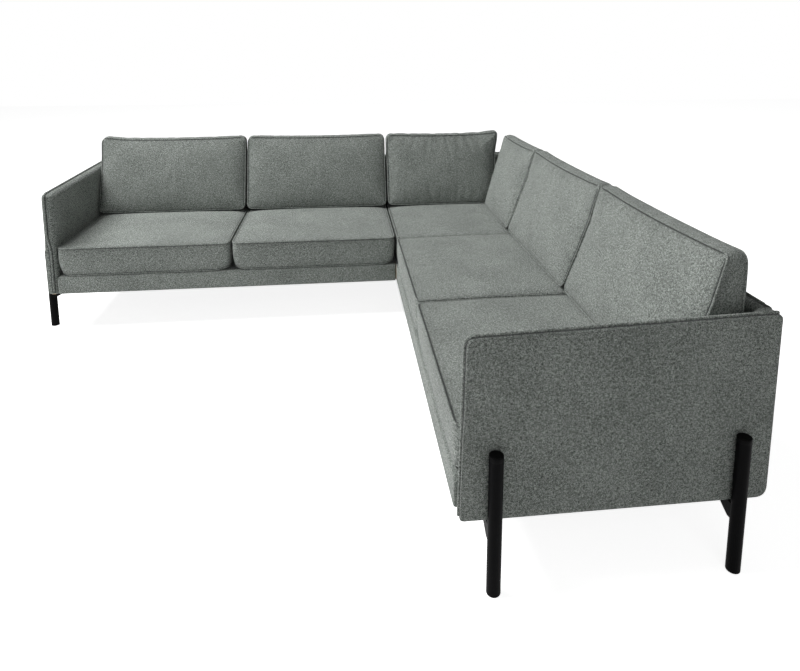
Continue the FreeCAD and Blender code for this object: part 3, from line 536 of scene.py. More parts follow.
def settle(covers):
    """Runs the cloth of all cushions together, and returns where it took their vertices."""
    scene = bpy.context.scene
    pieces = []
    for name, cover, held in covers:
        piece = cover.build(f"{name}_trial")
        piece.vertex_groups.new(name="seams").add([int(k) for k in held], 1.0, "REPLACE")
        cloth = piece.modifiers.new("cloth", "CLOTH")
        for label, value in CLOTH.items():
            setattr(cloth.settings, label, value)
        cloth.settings.effector_weights.gravity = 0
        cloth.collision_settings.use_collision = False
        cloth.point_cache.frame_start, cloth.point_cache.frame_end = 1, SETTLE_FRAMES
        pieces.append(piece)
    for step in range(1, SETTLE_FRAMES + 1):
        scene.frame_set(step)
    graph = bpy.context.evaluated_depsgraph_get()
    moved = []
    for piece in pieces:
        mesh = piece.evaluated_get(graph).to_mesh()
        places = np.empty(len(mesh.vertices) * 3)
        mesh.vertices.foreach_get("co", places)
        moved.append(places.reshape(-1, 3))
    scene.frame_set(1)
    for piece in pieces:
        mesh = piece.data
        bpy.data.objects.remove(piece)
        bpy.data.meshes.remove(mesh)
    return moved


def evened(values, faces, rounds):
    """Values of vertices, averaged with their neighbours so many times."""
    edges = np.concatenate([faces[:, [k, (k + 1) % 4]] for k in range(4)])
    count = np.bincount(edges.ravel(), minlength=len(values))[:, None]
    for _ in range(rounds):
        total = np.zeros_like(values)
        np.add.at(total, edges[:, 0], values[edges[:, 1]])
        np.add.at(total, edges[:, 1], values[edges[:, 0]])
        values = (values + total / count) / 2
    return values


def crease(cover, moved, strength):
    """Adds the cloth's creases, without its broad swell, to a cover's design shape."""
    shift = moved - cover.points
    fine = (shift - evened(shift, np.array(cover.faces), BROAD_ROUNDS)) * strength
    length = np.linalg.norm(fine, axis=1)[:, None]
    fine *= CREASE_CAP * np.tanh(length / CREASE_CAP) / np.maximum(length, 1e-9)
    for side in (0, 1):
        fine[cover.rim(side)] = 0
    cover.points = cover.points + fine


# Slabs: thin pieces whose two faces meet in a soft edge or in a piped seam. An edge's form gives
# how far the inner and outer faces are set in, the depth of the seam and how far it drops, the
# power of the curve and the share of piping; what it leaves out is 0.

GROOVE = 0.0028
GROOVE_REACH = 0.0045


def slab(place, corners, radii, counts, thick, edge_of, layers=14, end_inset=1.0):
    """A cover from an outline in a plane; edge_of gives the edge's form at each border point.
    A small end_inset keeps its two short ends square, where they meet a neighbour."""
    ring = rounded_outline(corners, radii, counts)
    outward = outline_normals(ring) * (end_inset, 1.0)
    forms = [edge_of(point, normal) for point, normal in zip(ring, outward)]
    inner, outer, seam, drop, power, piped = [
        np.array([form.get(key, 0.0) for form in forms])
        for key in ("inner", "outer", "seam", "drop", "power", "piped")]

    def set_in(inset, depth):
        """The outline, set in from the border at a depth."""
        return np.column_stack([ring - outward * inset[:, None], np.broadcast_to(depth, len(ring))])

    boxing = []
    for layer in range(1, 2 * layers):
        outside = layer <= layers
        angle = (layer if outside else 2 * layers - layer) / layers * math.pi / 2
        start, reach = (outer, seam) if outside else (inner, thick - seam)
        fall = reach * (1 - np.cos(angle) ** (2 / power))
        depth = fall if outside else thick - fall
        inset = drop + (start - drop) * (1 - np.sin(angle) ** (2 / power))
        sunk = GROOVE * piped * np.exp(-np.abs(depth - seam) / GROOVE_REACH)
        boxing.append(set_in(inset + sunk, depth))
        if layer == layers:
            seam_ring = set_in(inset, depth)
    outer_panel = filled(set_in(outer, 0.0), counts)
    inner_panel = filled(set_in(inner, thick), counts)
    # Painted shade beside a piped seam: strength marks on the boxing near the seam, none on the panels.
    marks = [np.zeros(2 * outer_panel[..., 0].size)]
    for places in boxing:
        away = np.linalg.norm(places - seam_ring, axis=1)
        marks.append(piped * seam_shade_strength(np.maximum(away - GROOVE_REACH, 0)))
    cover = Cover(place(outer_panel), place(inner_panel), [place(edge) for edge in boxing],
                  outer_panel[..., :2], inner_panel[..., :2], thick, np.concatenate(marks))
    cover.seam_places = place(seam_ring)
    cover.outline_places = ring
    return cover


def same_edge(**form):
    """An edge that has one form all round."""
    return lambda point, normal: form


# Arms: their two faces meet in a piped seam along the front and the top

COVER_FOOT = BASE - 0.0005
ARM_FRONT_TOP = 0.740
ARM_LEAN = 0.012
ARM_SEAM = 0.014
ARM_JOG = {"left": 0.015, "right": 0.0}
ARM_RADII = (0.009, 0.030, 0.014, 0.034)
ARM_CORD = 0.0052


def arm_edge(point, normal, jog):
    """The arm's edge: a sharp piped seam in front and on top, a plain soft edge elsewhere.
    jog is how far the seam shifts inwards below the seat."""
    behind, height = point
    front_or_top = max(0.0, -normal[0], normal[1])
    rear_half = ease((behind - 0.860) / 0.030) * (1 - ease((height - 0.700) / 0.04))
    sharp = float(ease((front_or_top - 0.35) / 0.5) * (1 - rear_half))
    low_front = float(ease((0.530 - height) / 0.110)) * float(ease((0.06 - behind) / 0.02))
    seam = ARM_SEAM + jog * low_front
    by_low_back = float(ease((behind - 0.830) / 0.020))
    return {
        "inner": 0.006 + 0.034 * sharp * (1 - by_low_back),
        "outer": 0.006 + 0.012 * sharp * (1 - 0.7 * low_front),
        "seam": ARM_THICK / 2 + (seam - ARM_THICK / 2) * sharp,
        "drop": 0.0060 * sharp,
        "power": 3.6 - 1.5 * sharp * (1 - 0.5 * low_front),
        "piped": sharp,
    }


def make_arm(run):
    """An arm's cover and its piping."""
    def place(points):
        """World places from the depth behind the front, the height and the depth inside the cover."""
        return on_run(run, ARM_INSIDE + ARM_THICK - points[..., 2], UNIT_DEPTH - points[..., 0],
                      points[..., 1])
    corners = [(0.001, COVER_FOOT), (UNIT_DEPTH - 0.001, COVER_FOOT),
               (UNIT_DEPTH - 0.001, BACK_TOP), (ARM_LEAN, ARM_FRONT_TOP)]
    cover = slab(place, corners, ARM_RADII, (72, 48), ARM_THICK,
                 lambda point, normal: arm_edge(point, normal, ARM_JOG[run]))
    node = f"{run}_arm_cover"
    finish_piece(smoothed(cover.build(f"{node}_fabric")), node, "upholstery_fabric")
    keep = [k for k, point in enumerate(cover.outline_places)
            if point[1] > BASE + 0.004 and (point[0] < 0.20 or point[1] > ARM_FRONT_TOP - 0.03)
            and point[0] < UNIT_DEPTH - 0.0045]
    count = len(cover.outline_places)
    first = next(k for k in keep if (k - 1) % count not in keep)
    order = [(first + k) % count for k in range(len(keep))]
    piping(f"{run}_arm_piping", cover.seam_places[order], ARM_CORD, node, "upholstery_fabric")


# Low backs

BACK_CORD = 0.0042
BACK_RADII = (0.003, 0.003, 0.002, 0.002)


def back_edge(point, normal):
    """The low back's edge: a piped seam on top, a plain soft edge elsewhere."""
    sharp = float(ease((normal[1] - 0.35) / 0.5))
    return {
        "inner": 0.004 + 0.030 * sharp,
        "outer": 0.004 + 0.012 * sharp,
        "seam": BACK_THICK / 2 + (ARM_SEAM - BACK_THICK / 2) * sharp,
        "drop": 0.0050 * sharp,
        "power": 3.6 - 1.5 * sharp,
        "piped": sharp,
    }


def make_low_back(name, run, start, end):
    """The cover of a low back with the piping along its top."""
    def place(points):
        return on_run(run, points[..., 0], points[..., 2], points[..., 1])
    counts = (round((end - start) / 0.018), 34)
    cover = slab(place, rectangle((start, end), (COVER_FOOT, BACK_TOP)), BACK_RADII, counts,
                 BACK_THICK, back_edge, end_inset=0.08)
    finish_piece(smoothed(cover.build(f"{name}_fabric")), name, "upholstery_fabric")
    keep = [k for k, point in enumerate(cover.outline_places) if point[1] > BACK_TOP - 0.0005]
    piping(f"{name}_piping", cover.seam_places[keep], BACK_CORD, name, "upholstery_fabric")


# Front rails

RAIL_RADII = (0.005, 0.008, 0.012, 0.005)
HEM_HEIGHT = BASE + 0.016
HEM_POINTS = 40


def make_front_rail(run):
    """The padded front rail, rounder on the outside, with the hem line above its lower edge."""
    def place(points):
        return on_run(run, points[..., 0], UNIT_DEPTH - points[..., 2], points[..., 1])
    start, end = UNIT_DEPTH + 0.001, ARM_INSIDE - 0.001
    cover = slab(place, rectangle((start, end), (BASE + 0.001, DECK)), RAIL_RADII, (150, 12),
                 RAIL_THICK, same_edge(inner=0.003, outer=0.009, seam=0.012, power=2.2))
    node = f"{run}_rail_cover"
    finish_piece(smoothed(cover.build(f"{node}_fabric")), node, "upholstery_fabric")
    along = np.linspace(start + 0.012, end - 0.012, HEM_POINTS)
    hem = np.column_stack([along, np.full(HEM_POINTS, HEM_HEIGHT), np.full(HEM_POINTS, 0.0002)])
    follow("bars", f"{run}_rail_hem_stitches", [place(hem)], node, "upholstery_fabric",
           Bar_length=0.0045, Spacing=0.0065, Bar_radius=0.0009)


# Decks and linings

WEB_TOP = 0.290
DECK_THICK = 0.010
PANEL_STEP = 0.03
LINING_FOOT = 0.2115
LINING_THICK = 0.001
STAPLE_INSET = 0.012
STAPLE_POINTS = 12


def run_of(name):
    """The run that a unit's places are measured along; the corner goes with the left one."""
    return "right" if name.startswith("right") else "left"


def panel_counts(a_range, d_range):
    """Steps of a flat panel's lattice."""
    return (round((a_range[1] - a_range[0]) / PANEL_STEP), round((d_range[1] - d_range[0]) / PANEL_STEP))


def make_deck(name, a_range, d_range):
    """The felted deck pad, slightly wavy over the webbing."""
    def place(points):
        wave = waves(points, 0.16, 3)
        height = WEB_TOP + points[..., 2] * (DECK - 0.0006 - WEB_TOP) / DECK_THICK
        return on_run(run_of(name), points[..., 0], points[..., 1], height - 0.0006 * (wave + 1) / 2)
    cover = slab(place, rectangle(a_range, d_range), 0.01, panel_counts(a_range, d_range), DECK_THICK,
                 same_edge(inner=0.003, outer=0.003, seam=DECK_THICK / 2, power=2.4), layers=3)
    finish_piece(cover.build(f"{name}_felt"), name, "deck_felt")


def make_lining(name, a_range, d_range, rests_on):
    """The thin lining under a unit, stapled round its edge and sagging a little inside."""
    run = run_of(name)
    a_middle, d_middle = sum(a_range) / 2, sum(d_range) / 2
    width, depth = a_range[1] - a_range[0], d_range[1] - d_range[0]

    def place(points):
        u = 2 * (points[..., 0] - a_middle) / width
        v = 2 * (points[..., 1] - d_middle) / depth
        hollow = np.clip(1 - u * u, 0, 1) * np.clip(1 - v * v, 0, 1)
        sag = 0.0022 * hollow + 0.0008 * hollow ** 0.5 * (waves(points, 0.22, 5) + 1)
        return on_run(run, points[..., 0], points[..., 1],
                      LINING_FOOT + 0.0003 + points[..., 2] - sag)
    cover = slab(place, rectangle(a_range, d_range, 0.002), 0.004, panel_counts(a_range, d_range),
                 LINING_THICK, same_edge(inner=0.0003, outer=0.0003, seam=LINING_THICK / 2, power=2),
                 layers=1)
    piece = cover.build(f"{name}_lining")
    finish_piece(piece, name, "lining")
    lines = []
    corners = rectangle(a_range, d_range, STAPLE_INSET)
    for k in range(4):
        (a_from, d_from), (a_to, d_to) = corners[k], corners[(k + 1) % 4]
        lines.append(on_run(run, np.linspace(a_from, a_to, STAPLE_POINTS),
                            np.linspace(d_from, d_to, STAPLE_POINTS), LINING_FOOT - 0.0002))
    follow("bars", f"{name}_staples", lines, name, "fastener_steel",
           Bar_length=0.010, Spacing=0.055, Bar_radius=0.0005)


# Webbing and leg caps

STRAP_WIDTH = 0.070
STRAP_PITCH = 0.125
LEG_RADIUS = 0.020
LEG_DEPTHS = (0.800, 0.100)
CAP_STEPS = 48


def make_webbing(name):
    """Elastic straps side by side over the rails, a hair higher in the middle."""
    low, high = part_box(name)
    side = 1 if name.startswith("right") else 0
    long = 1 - side
    thick = high[2] - low[2]
    count = round((high[side] - low[side] - STRAP_WIDTH) / STRAP_PITCH) + 1

    def place(points):
        world = np.empty(points.shape)
        world[..., long], world[..., side] = points[..., 0], points[..., 1]
        share = (points[..., 0] - low[long]) / (high[long] - low[long])
        world[..., 2] = low[2] + 0.0002 + points[..., 2] * 0.75 + 0.0002 * np.sin(share * math.pi)
        return world

    edge = same_edge(inner=0.0007, outer=0.0007, seam=thick / 2, power=2)
    counts = (round((high[long] - low[long]) / 0.02), 6)
    straps = []
    for number in range(count):
        near = low[side] + number * STRAP_PITCH
        corners = rectangle((low[long], high[long]), (near, near + STRAP_WIDTH))
        straps.append(slab(place, corners, 0.002, counts, thick, edge, layers=2))
    finish_piece(joined(straps).build(f"{name}_straps"), name, "webbing")


def make_leg_caps():
    """The black end caps on the leg tubes, with a turned rim."""
    low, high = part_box("leg_caps")
    radius, foot, top = LEG_RADIUS, low[2], high[2]
    profile = [(radius - 0.0008, foot), (radius, foot + 0.0006), (radius, top - 0.0016),
               (radius - 0.0005, top - 0.0005), (radius - 0.0016, top), (radius - 0.0032, top),
               (radius - 0.0040, top - 0.0008), (radius - 0.0055, top - 0.0008)]
    turns = [2 * math.pi * step / CAP_STEPS for step in range(CAP_STEPS)]
    places = [on_run(run, ARM_INSIDE + ARM_THICK + LEG_RADIUS, depth, foot)
              for run in RUNS for depth in LEG_DEPTHS]
    points, faces = [], []
    for x, y, _ in places:
        first, last = len(points), len(points) + len(profile) * CAP_STEPS + 1
        points.append((x, y, foot))
        for reach, z in profile:
            points.extend((x + reach * math.cos(turn), y + reach * math.sin(turn), z) for turn in turns)
        points.append((x, y, top - 0.0006))
        for step in range(CAP_STEPS):
            column, after = first + 1 + step, first + 1 + (step + 1) % CAP_STEPS
            faces.append((first, after, column))
            for _ in profile[1:]:
                faces.append((column, after, after + CAP_STEPS, column + CAP_STEPS))
                column, after = column + CAP_STEPS, after + CAP_STEPS
            faces.append((column, after, last))
    piece = new_piece("leg_end_caps", points, [], faces)
    piece.data.shade_smooth()
    finish_piece(piece, "leg_caps", "black_plastic")


# Node trees, for materials and for what follows a seam

MIX_FIRST = 6
MIX_SECOND = 7
MIX_RESULT = 2


class Nodes:
    """A node tree, laid with few words."""

    def __init__(self, tree):
        self.tree = tree

    def feed(self, socket, value):
        """Links a socket to another node's output, or gives it a value."""
        if isinstance(value, bpy.types.NodeSocket):
            self.tree.links.new(value, socket)
        else:
            socket.default_value = value

    def set(self, node, **values):
        """Sets a node's own properties, which begin in lower case, and feeds its inputs by name."""
        for label, value in values.items():
            if label[0].islower():
                setattr(node, label, value)
            else:
                self.feed(node.inputs[label.replace("_", " ")], value)
        return node

    def node(self, kind, *first_inputs, **values):
        """Adds a node, and returns it."""
        made = self.set(self.tree.nodes.new(kind), **values)
        for socket, value in zip(made.inputs, first_inputs):
            self.feed(socket, value)
        return made

    def sum(self, kind, *values):
        """The result of a sum on numbers or sockets."""
        return self.node("ShaderNodeMath", *values, operation=kind).outputs[0]

    def seen_directly(self):
        """1 for what the camera sees itself, mirrored or through glass."""
        rays = self.node("ShaderNodeLightPath").outputs
        direct = self.sum("MAXIMUM", rays["Is Camera Ray"], rays["Is Glossy Ray"])
        return self.sum("MAXIMUM", direct, rays["Is Transmission Ray"])


class Finish(Nodes):
    """A material's nodes."""

    def __init__(self, name, **inputs):
        self.material = bpy.data.materials.new(name)
        self.material.use_nodes = True
        super().__init__(self.material.node_tree)
        self.shader = self.tree.nodes["Principled BSDF"]
        self.set(self.shader, **inputs)

    def stretched(self, vector, scale):
        """Places with a scale of their own on each axis."""
        return self.node("ShaderNodeMapping", Vector=vector, Scale=scale).outputs["Vector"]

    def mottle(self, vector, scale, detail=2.0, rough=0.5, distortion=0.0):
        """Noise at places."""
        made = self.node("ShaderNodeTexNoise", Vector=vector, Scale=scale, Detail=detail,
                         Roughness=rough, Distortion=distortion)
        return made.outputs["Fac"]

    def ramp(self, value, low, high, out_low=0.0, out_high=1.0):
        """A value's range, turned smoothly into another range."""
        made = self.node("ShaderNodeMapRange", interpolation_type="SMOOTHSTEP", Value=value,
                         From_Min=low, From_Max=high, To_Min=out_low, To_Max=out_high)
        return made.outputs["Result"]

    def mix(self, share, first, second):
        """A blend of two colours, each a socket or its red, green and blue."""
        made = self.node("ShaderNodeMix", data_type="RGBA", Factor=share)
        for number, colour in ((MIX_FIRST, first), (MIX_SECOND, second)):
            self.feed(made.inputs[number], (*colour, 1.0) if isinstance(colour, tuple) else colour)
        return made.outputs[MIX_RESULT]

    def bump(self, height, strength, distance):
        """Fine relief on the surface."""
        made = self.node("ShaderNodeBump", Height=height, Strength=strength, Distance=distance)
        self.set(self.shader, Normal=made.outputs["Normal"])


# Piping, stitches and staples: things that follow a line of edges

CORD_SIDES = 10
CORD_STEP = 0.007


def line_tree(name, defaults, lay):
    """Geometry nodes that lay something along a line of edges, at points with even spacing."""
    group = bpy.data.node_groups.new(name, "GeometryNodeTree")
    add_socket = group.interface.new_socket
    add_socket("Geometry", in_out="INPUT", socket_type="NodeSocketGeometry")
    for label, default in defaults.items():
        add_socket(label, in_out="INPUT", socket_type="NodeSocketFloat").default_value = default
    add_socket("Finish", in_out="INPUT", socket_type="NodeSocketMaterial")
    add_socket("Geometry", in_out="OUTPUT", socket_type="NodeSocketGeometry")
    nodes = Nodes(group)
    given = nodes.node("NodeGroupInput").outputs
    curve = nodes.node("GeometryNodeMeshToCurve", Mesh=given["Geometry"]).outputs["Curve"]
    steps = nodes.node("GeometryNodeResampleCurve", mode="LENGTH", Curve=curve, Length=given["Spacing"])
    shape = lay(nodes, given, steps.outputs["Curve"])
    real = nodes.node("GeometryNodeRealizeInstances", Geometry=shape)
    paint = nodes.node("GeometryNodeSetMaterial", Geometry=real.outputs["Geometry"],
                       Material=given["Finish"])
    nodes.node("NodeGroupOutput", Geometry=paint.outputs["Geometry"])
    return group


def with_weave(nodes, shape, place):
    """Keeps the places of the cloth on a shape, under the name that the materials read."""
    store = nodes.node("GeometryNodeStoreNamedAttribute", data_type="FLOAT2", domain="CORNER",
                       Name="weave", Geometry=shape, Value=place)
    return store.outputs["Geometry"]


def with_length(nodes, curve):
    """A curve, and the length along it, kept on its points."""
    keep = nodes.node("GeometryNodeCaptureAttribute", domain="POINT")
    keep.capture_items.new("FLOAT", "Length")
    along = nodes.node("GeometryNodeSplineParameter")
    nodes.set(keep, Geometry=curve, Length=along.outputs["Length"])
    return keep.outputs["Geometry"], keep.outputs["Length"]


def lay_cord(nodes, given, line):
    """A round cord covered in cloth, a little uneven."""
    wobble = nodes.node("ShaderNodeTexNoise", Scale=28)
    centred = nodes.node("ShaderNodeVectorMath", wobble.outputs["Color"], (0.5, 0.5, 0.5),
                         operation="SUBTRACT")
    scaled = nodes.node("ShaderNodeVectorMath", centred.outputs["Vector"], operation="SCALE",
                        Scale=given["Unevenness"])
    shifted = nodes.node("GeometryNodeSetPosition", Geometry=line, Offset=scaled.outputs["Vector"])
    core, length = with_length(nodes, shifted.outputs["Geometry"])
    circle = nodes.node("GeometryNodeCurvePrimitiveCircle", Resolution=CORD_SIDES,
                        Radius=given["Cord radius"])
    section, around = with_length(nodes, circle.outputs["Curve"])
    cord = nodes.node("GeometryNodeCurveToMesh", Fill_Caps=True, Curve=core, Profile_Curve=section)
    place = nodes.node("ShaderNodeCombineXYZ", X=length, Y=around)
    woven = with_weave(nodes, cord.outputs["Mesh"], place.outputs["Vector"])
    return nodes.node("GeometryNodeSetShadeSmooth", Geometry=woven).outputs["Geometry"]


def lay_bars(nodes, given, line):
    """Short round bars, one at each point of the line and lying along it."""
    bar = nodes.node("GeometryNodeMeshCylinder", Vertices=6, Radius=given["Bar radius"],
                     Depth=given["Bar length"])
    tangent = nodes.node("GeometryNodeInputTangent")
    turn = nodes.node("FunctionNodeAlignRotationToVector", axis="Z", Vector=tangent.outputs["Tangent"])
    bars = nodes.node("GeometryNodeInstanceOnPoints", Points=line, Instance=bar.outputs["Mesh"],
                      Rotation=turn.outputs["Rotation"])
    real = nodes.node("GeometryNodeRealizeInstances", Geometry=bars.outputs["Instances"])
    place = nodes.node("GeometryNodeInputPosition")
    return with_weave(nodes, real.outputs["Geometry"], place.outputs["Position"])


TREES = {
    "cord": line_tree("covered_cord", {"Cord radius": 0.0035, "Spacing": 0.006, "Unevenness": 0.0004},
                      lay_cord),
    "bars": line_tree("bars_along_a_line", {"Bar length": 0.0, "Spacing": 0.0, "Bar radius": 0.0},
                      lay_bars),
}


def follow(tree, name, lines, node, slot, body="sofa_frame", closed=False, **inputs):
    """Lays a tree's cord or bars along lines of places, as one piece."""
    points, edges = [], []
    for places in lines:
        first, last = len(points), len(points) + len(places) - 1
        points.extend(places)
        edges.extend((k, k + 1) for k in range(first, last))
        if closed:
            edges.append((last, first))
    piece = new_piece(name, points, edges, [])
    modifier = piece.modifiers.new(tree, "NODES")
    modifier.node_group = TREES[tree]
    inputs["Finish"] = MATERIALS[slot]
    for socket in modifier.node_group.interface.items_tree:
        label = socket.name.replace(" ", "_")
        if socket.in_out == "INPUT" and label in inputs:
            modifier[socket.identifier] = inputs[label]
    plain_mesh(piece)
    finish_piece(piece, node, slot, body=body)


def piping(name, places, radius, node, slot, **more):
    """A covered cord along a seam."""
    follow("cord", name, [places], node, slot, Cord_radius=radius, Spacing=CORD_STEP, **more)


# Materials

YARN_PITCH = 0.0026
RIB_PITCH = 0.0030
# Colours of the shade painted by the seams: a soft darkening some centimetres wide and a deep one in the
# groove beside the seam.
PAINTED_SEAM_SHADE_SOFT = (0.035, 0.038, 0.036)
PAINTED_SEAM_SHADE_DEEP = (0.020, 0.022, 0.021)


def woven_cloth(name, dark, middle, light):
    """Melange upholstery cloth: a plain weave of mixed yarns with light and dark flecks, and shade
    painted near its seams.
    """
    cloth = Finish(name, Sheen_Weight=0.18, Sheen_Roughness=0.45, Specular_IOR_Level=0.25)
    place = cloth.node("ShaderNodeUVMap", uv_map="weave").outputs["UV"]
    split = cloth.node("ShaderNodeSeparateXYZ", Vector=place)
    jitter = cloth.mottle(place, 900, 1)
    turns = 2 * math.pi / YARN_PITCH
    warp, weft = [cloth.sum("SINE", cloth.sum("MULTIPLY_ADD", split.outputs[axis], turns, jitter))
                  for axis in ("X", "Y")]
    crossing = cloth.sum("MULTIPLY", warp, weft)
    warp_fleck, weft_fleck = [cloth.mottle(cloth.stretched(place, scale), 1.0, 1, 0.5, 1.2)
                              for scale in ((480, 190, 1), (190, 480, 1))]
    over = cloth.ramp(crossing, -0.4, 0.4)
    yarn = cloth.sum("ADD", cloth.sum("MULTIPLY", warp_fleck, over),
                     cloth.sum("MULTIPLY", weft_fleck, cloth.sum("SUBTRACT", 1.0, over)))
    curl = cloth.mottle(place, 380, 1, 0.5, 2.2)
    clump = cloth.mottle(place, 170, 1, 0.5, 1.0)
    broad = cloth.mottle(place, 5.0, 2, 0.55)
    fleck = cloth.sum("MULTIPLY_ADD", yarn, 0.40, cloth.sum("MULTIPLY", curl, 0.60))
    tone = cloth.sum("MULTIPLY_ADD", fleck, 0.80, cloth.sum("MULTIPLY", clump, 0.20))
    tone = cloth.sum("ADD", tone, cloth.sum("MULTIPLY_ADD", broad, 0.05, -0.025))
    shade = cloth.mix(cloth.ramp(tone, 0.42, 0.50), dark, middle)
    shade = cloth.mix(cloth.ramp(tone, 0.50, 0.57), shade, light)
    # Painted shade: the cloth is darkened near seams, softly over some centimetres and strongly in the
    # groove next to the seam.
    near = cloth.node("ShaderNodeAttribute", attribute_name="seam").outputs["Fac"]
    shade = cloth.mix(cloth.ramp(near, 0.0, 0.45, 0.0, 0.16), shade, PAINTED_SEAM_SHADE_SOFT)
    shade = cloth.mix(cloth.ramp(near, 0.50, 0.85, 0.0, 0.88), shade, PAINTED_SEAM_SHADE_DEEP)
    cloth.set(cloth.shader, Base_Color=shade, Roughness=cloth.ramp(tone, 0.35, 0.65, 0.95, 0.82))
    height = cloth.sum("MULTIPLY_ADD", crossing, 0.30, cloth.sum("MULTIPLY", fleck, 2.0))
    cloth.bump(height, 0.7, 0.0012)
    return cloth.material


def simple_finish(name, low, high, roughness, scale, metallic=0.0, bump=0.15, stretch=(1, 1, 1),
                  specular=0.5):
    """A finish with two mottled shades and a fine bump."""
    made = Finish(name, Metallic=metallic, Specular_IOR_Level=specular)
    place = made.stretched(made.node("ShaderNodeTexCoord").outputs["Object"], stretch)
    spots = made.mottle(place, scale, 4, 0.6)
    broad = made.mottle(place, scale / 12, 2)
    tone = made.sum("MULTIPLY_ADD", spots, 0.6, made.sum("MULTIPLY", broad, 0.4))
    made.set(made.shader, Base_Color=made.mix(made.ramp(tone, 0.35, 0.65), low, high),
             Roughness=made.ramp(spots, 0.3, 0.7, roughness - 0.06, roughness + 0.06))
    made.bump(spots, bump, 0.0005)
    return made.material


def ribbed_webbing(name, low, high):
    """Elastic webbing: close ribs across the strap, with mottled yarn."""
    strap = Finish(name, Roughness=0.8)
    place = strap.node("ShaderNodeUVMap", uv_map="weave").outputs["UV"]
    along = strap.node("ShaderNodeSeparateXYZ", Vector=place).outputs["X"]
    rib = strap.sum("SINE", strap.sum("MULTIPLY", along, 2 * math.pi / RIB_PITCH))
    tone = strap.sum("MULTIPLY_ADD", rib, 0.3, strap.mottle(place, 900, 2))
    strap.set(strap.shader, Base_Color=strap.mix(strap.ramp(tone, 0.2, 0.8), low, high))
    strap.bump(rib, 0.5, 0.0004)
    return strap.material


MATERIALS = {
    "upholstery_fabric": woven_cloth("upholstery_melange_weave", (0.050, 0.057, 0.051),
                                     (0.165, 0.185, 0.168), (0.500, 0.535, 0.502)),
    "cushion_fabric": woven_cloth("cushion_melange_weave", (0.056, 0.063, 0.057),
                                  (0.172, 0.192, 0.175), (0.500, 0.535, 0.502)),
    "leg_paint": simple_finish("satin_black_leg_paint", (0.002, 0.002, 0.0022),
                               (0.004, 0.004, 0.0044), 0.48, 900, bump=0.05, specular=0.03),
    "black_plastic": simple_finish("black_moulded_plastic", (0.002, 0.002, 0.002),
                                   (0.004, 0.004, 0.004), 0.45, 1400, specular=0.03),
    "fastener_steel": simple_finish("zinc_plated_steel", (0.50, 0.50, 0.50), (0.62, 0.62, 0.61), 0.35,
                                    600, metallic=1.0),
    "rail_wood": simple_finish("planed_pine", (0.55, 0.38, 0.22), (0.70, 0.53, 0.34), 0.6, 60,
                               stretch=(1, 1, 6)),
    "plywood": simple_finish("birch_plywood", (0.60, 0.46, 0.30), (0.72, 0.58, 0.40), 0.6, 40,
                             stretch=(1, 1, 5)),
    "webbing": ribbed_webbing("elastic_webbing", (0.06, 0.06, 0.065), (0.16, 0.155, 0.15)),
    "deck_felt": simple_finish("grey_needle_felt", (0.16, 0.17, 0.17), (0.28, 0.29, 0.29), 0.95, 500,
                               bump=0.4),
    "lining": simple_finish("black_spunbond_lining", (0.018, 0.018, 0.019), (0.034, 0.034, 0.035), 0.8,
                            900, bump=0.4),
}


# The cushions of the two runs and of the corner

OUTER_PLACE = (UNIT_MIDDLE + CUSHION_GAP, ARM_INSIDE - CUSHION_GAP)
INNER_PLACE = (UNIT_DEPTH + CUSHION_GAP, UNIT_MIDDLE - CUSHION_GAP)
CORNER_END = UNIT_DEPTH - CUSHION_GAP
CORNER_LEFT_START = CORNER_END - 0.715
CORNER_RIGHT_START = 0.339
CORNER_SLANT = 0.120 / (BACK_TOP_Z - (DECK + SEAT_CROWN_RISE))
SEATS = {
    "left_outer": ("left", *OUTER_PLACE),
    "left_inner": ("left", *INNER_PLACE),
    "corner": ("left", BACK_THICK + CUSHION_GAP, CORNER_END),
    "right_inner": ("right", *INNER_PLACE),
    "right_outer": ("right", *OUTER_PLACE),
}
BACKS = {
    "left_outer": ("left", *OUTER_PLACE, 0.0, ((0.002, 0.004, 0), (0.010, 0.012, 0))),
    "left_inner": ("left", *INNER_PLACE, 0.0, ((0.0, 0.004, 0), (0.0, 0.004, 0))),
    "corner_left": ("left", CORNER_LEFT_START, CORNER_END, 0.0,
                    ((0.012, 0.030, 0.018), (0.0, 0.004, 0)), 0.012),
    "corner_right": ("right", CORNER_RIGHT_START, CORNER_END, CORNER_SLANT,
                     ((0.0, 0.0, 0), (0.004, 0.010, 0))),
    "right_inner": ("right", *INNER_PLACE, 0.0, ((0.006, 0.010, 0), (0.004, 0.008, 0)), 0.020),
    "right_outer": ("right", *OUTER_PLACE, 0.0, ((0.006, 0.010, 0), (0.004, 0.008, 0)), 0.020),
}
SEAT_CREASES = 0.5
BACK_CREASES = {"left_outer": 0.45, "left_inner": 0.35, "corner_left": 1.0, "corner_right": 0.8,
                "right_inner": 0.7, "right_outer": 0.7}
SEAT_CUSHION_CORD = 0.0031
BACK_CUSHION_CORD = 0.0037


def make_cushions():
    """All seat and back cushions, with the cords in their seams. The loose ones ride on their own
    bodies and the others on the frame."""
    covers, finer = [], []
    for name, measures in SEATS.items():
        cover = seat_cover(*measures)
        covers.append((f"{name}_seat_cushion", cover, np.concatenate([cover.panel(0), cover.rim(1)])))
        finer.append((SEAT_CREASES, SEAT_CUSHION_CORD))
    for name, measures in BACKS.items():
        cover = back_cover(*measures)
        covers.append((f"{name}_back_cushion", cover, np.concatenate([cover.rim(0), cover.rim(1)])))
        finer.append((BACK_CREASES[name], BACK_CUSHION_CORD))
    for (_, cover, _), (creases, _), moved in zip(covers, finer, settle(covers)):
        crease(cover, moved, creases)
    for (name, cover, _), (_, cord) in zip(covers, finer):
        body = name if name in frame["bodies"] else "sofa_frame"
        finish_piece(smoothed(cover.build(f"{name}_cover")), name, "cushion_fabric", body)
        for side, label in ((1, "front"), (0, "rear")):
            piping(f"{name}_{label}_piping", cover.points[cover.rim(side)], cord, name,
                   "cushion_fabric", body=body, closed=True)


# Frame pieces that keep their construction shape

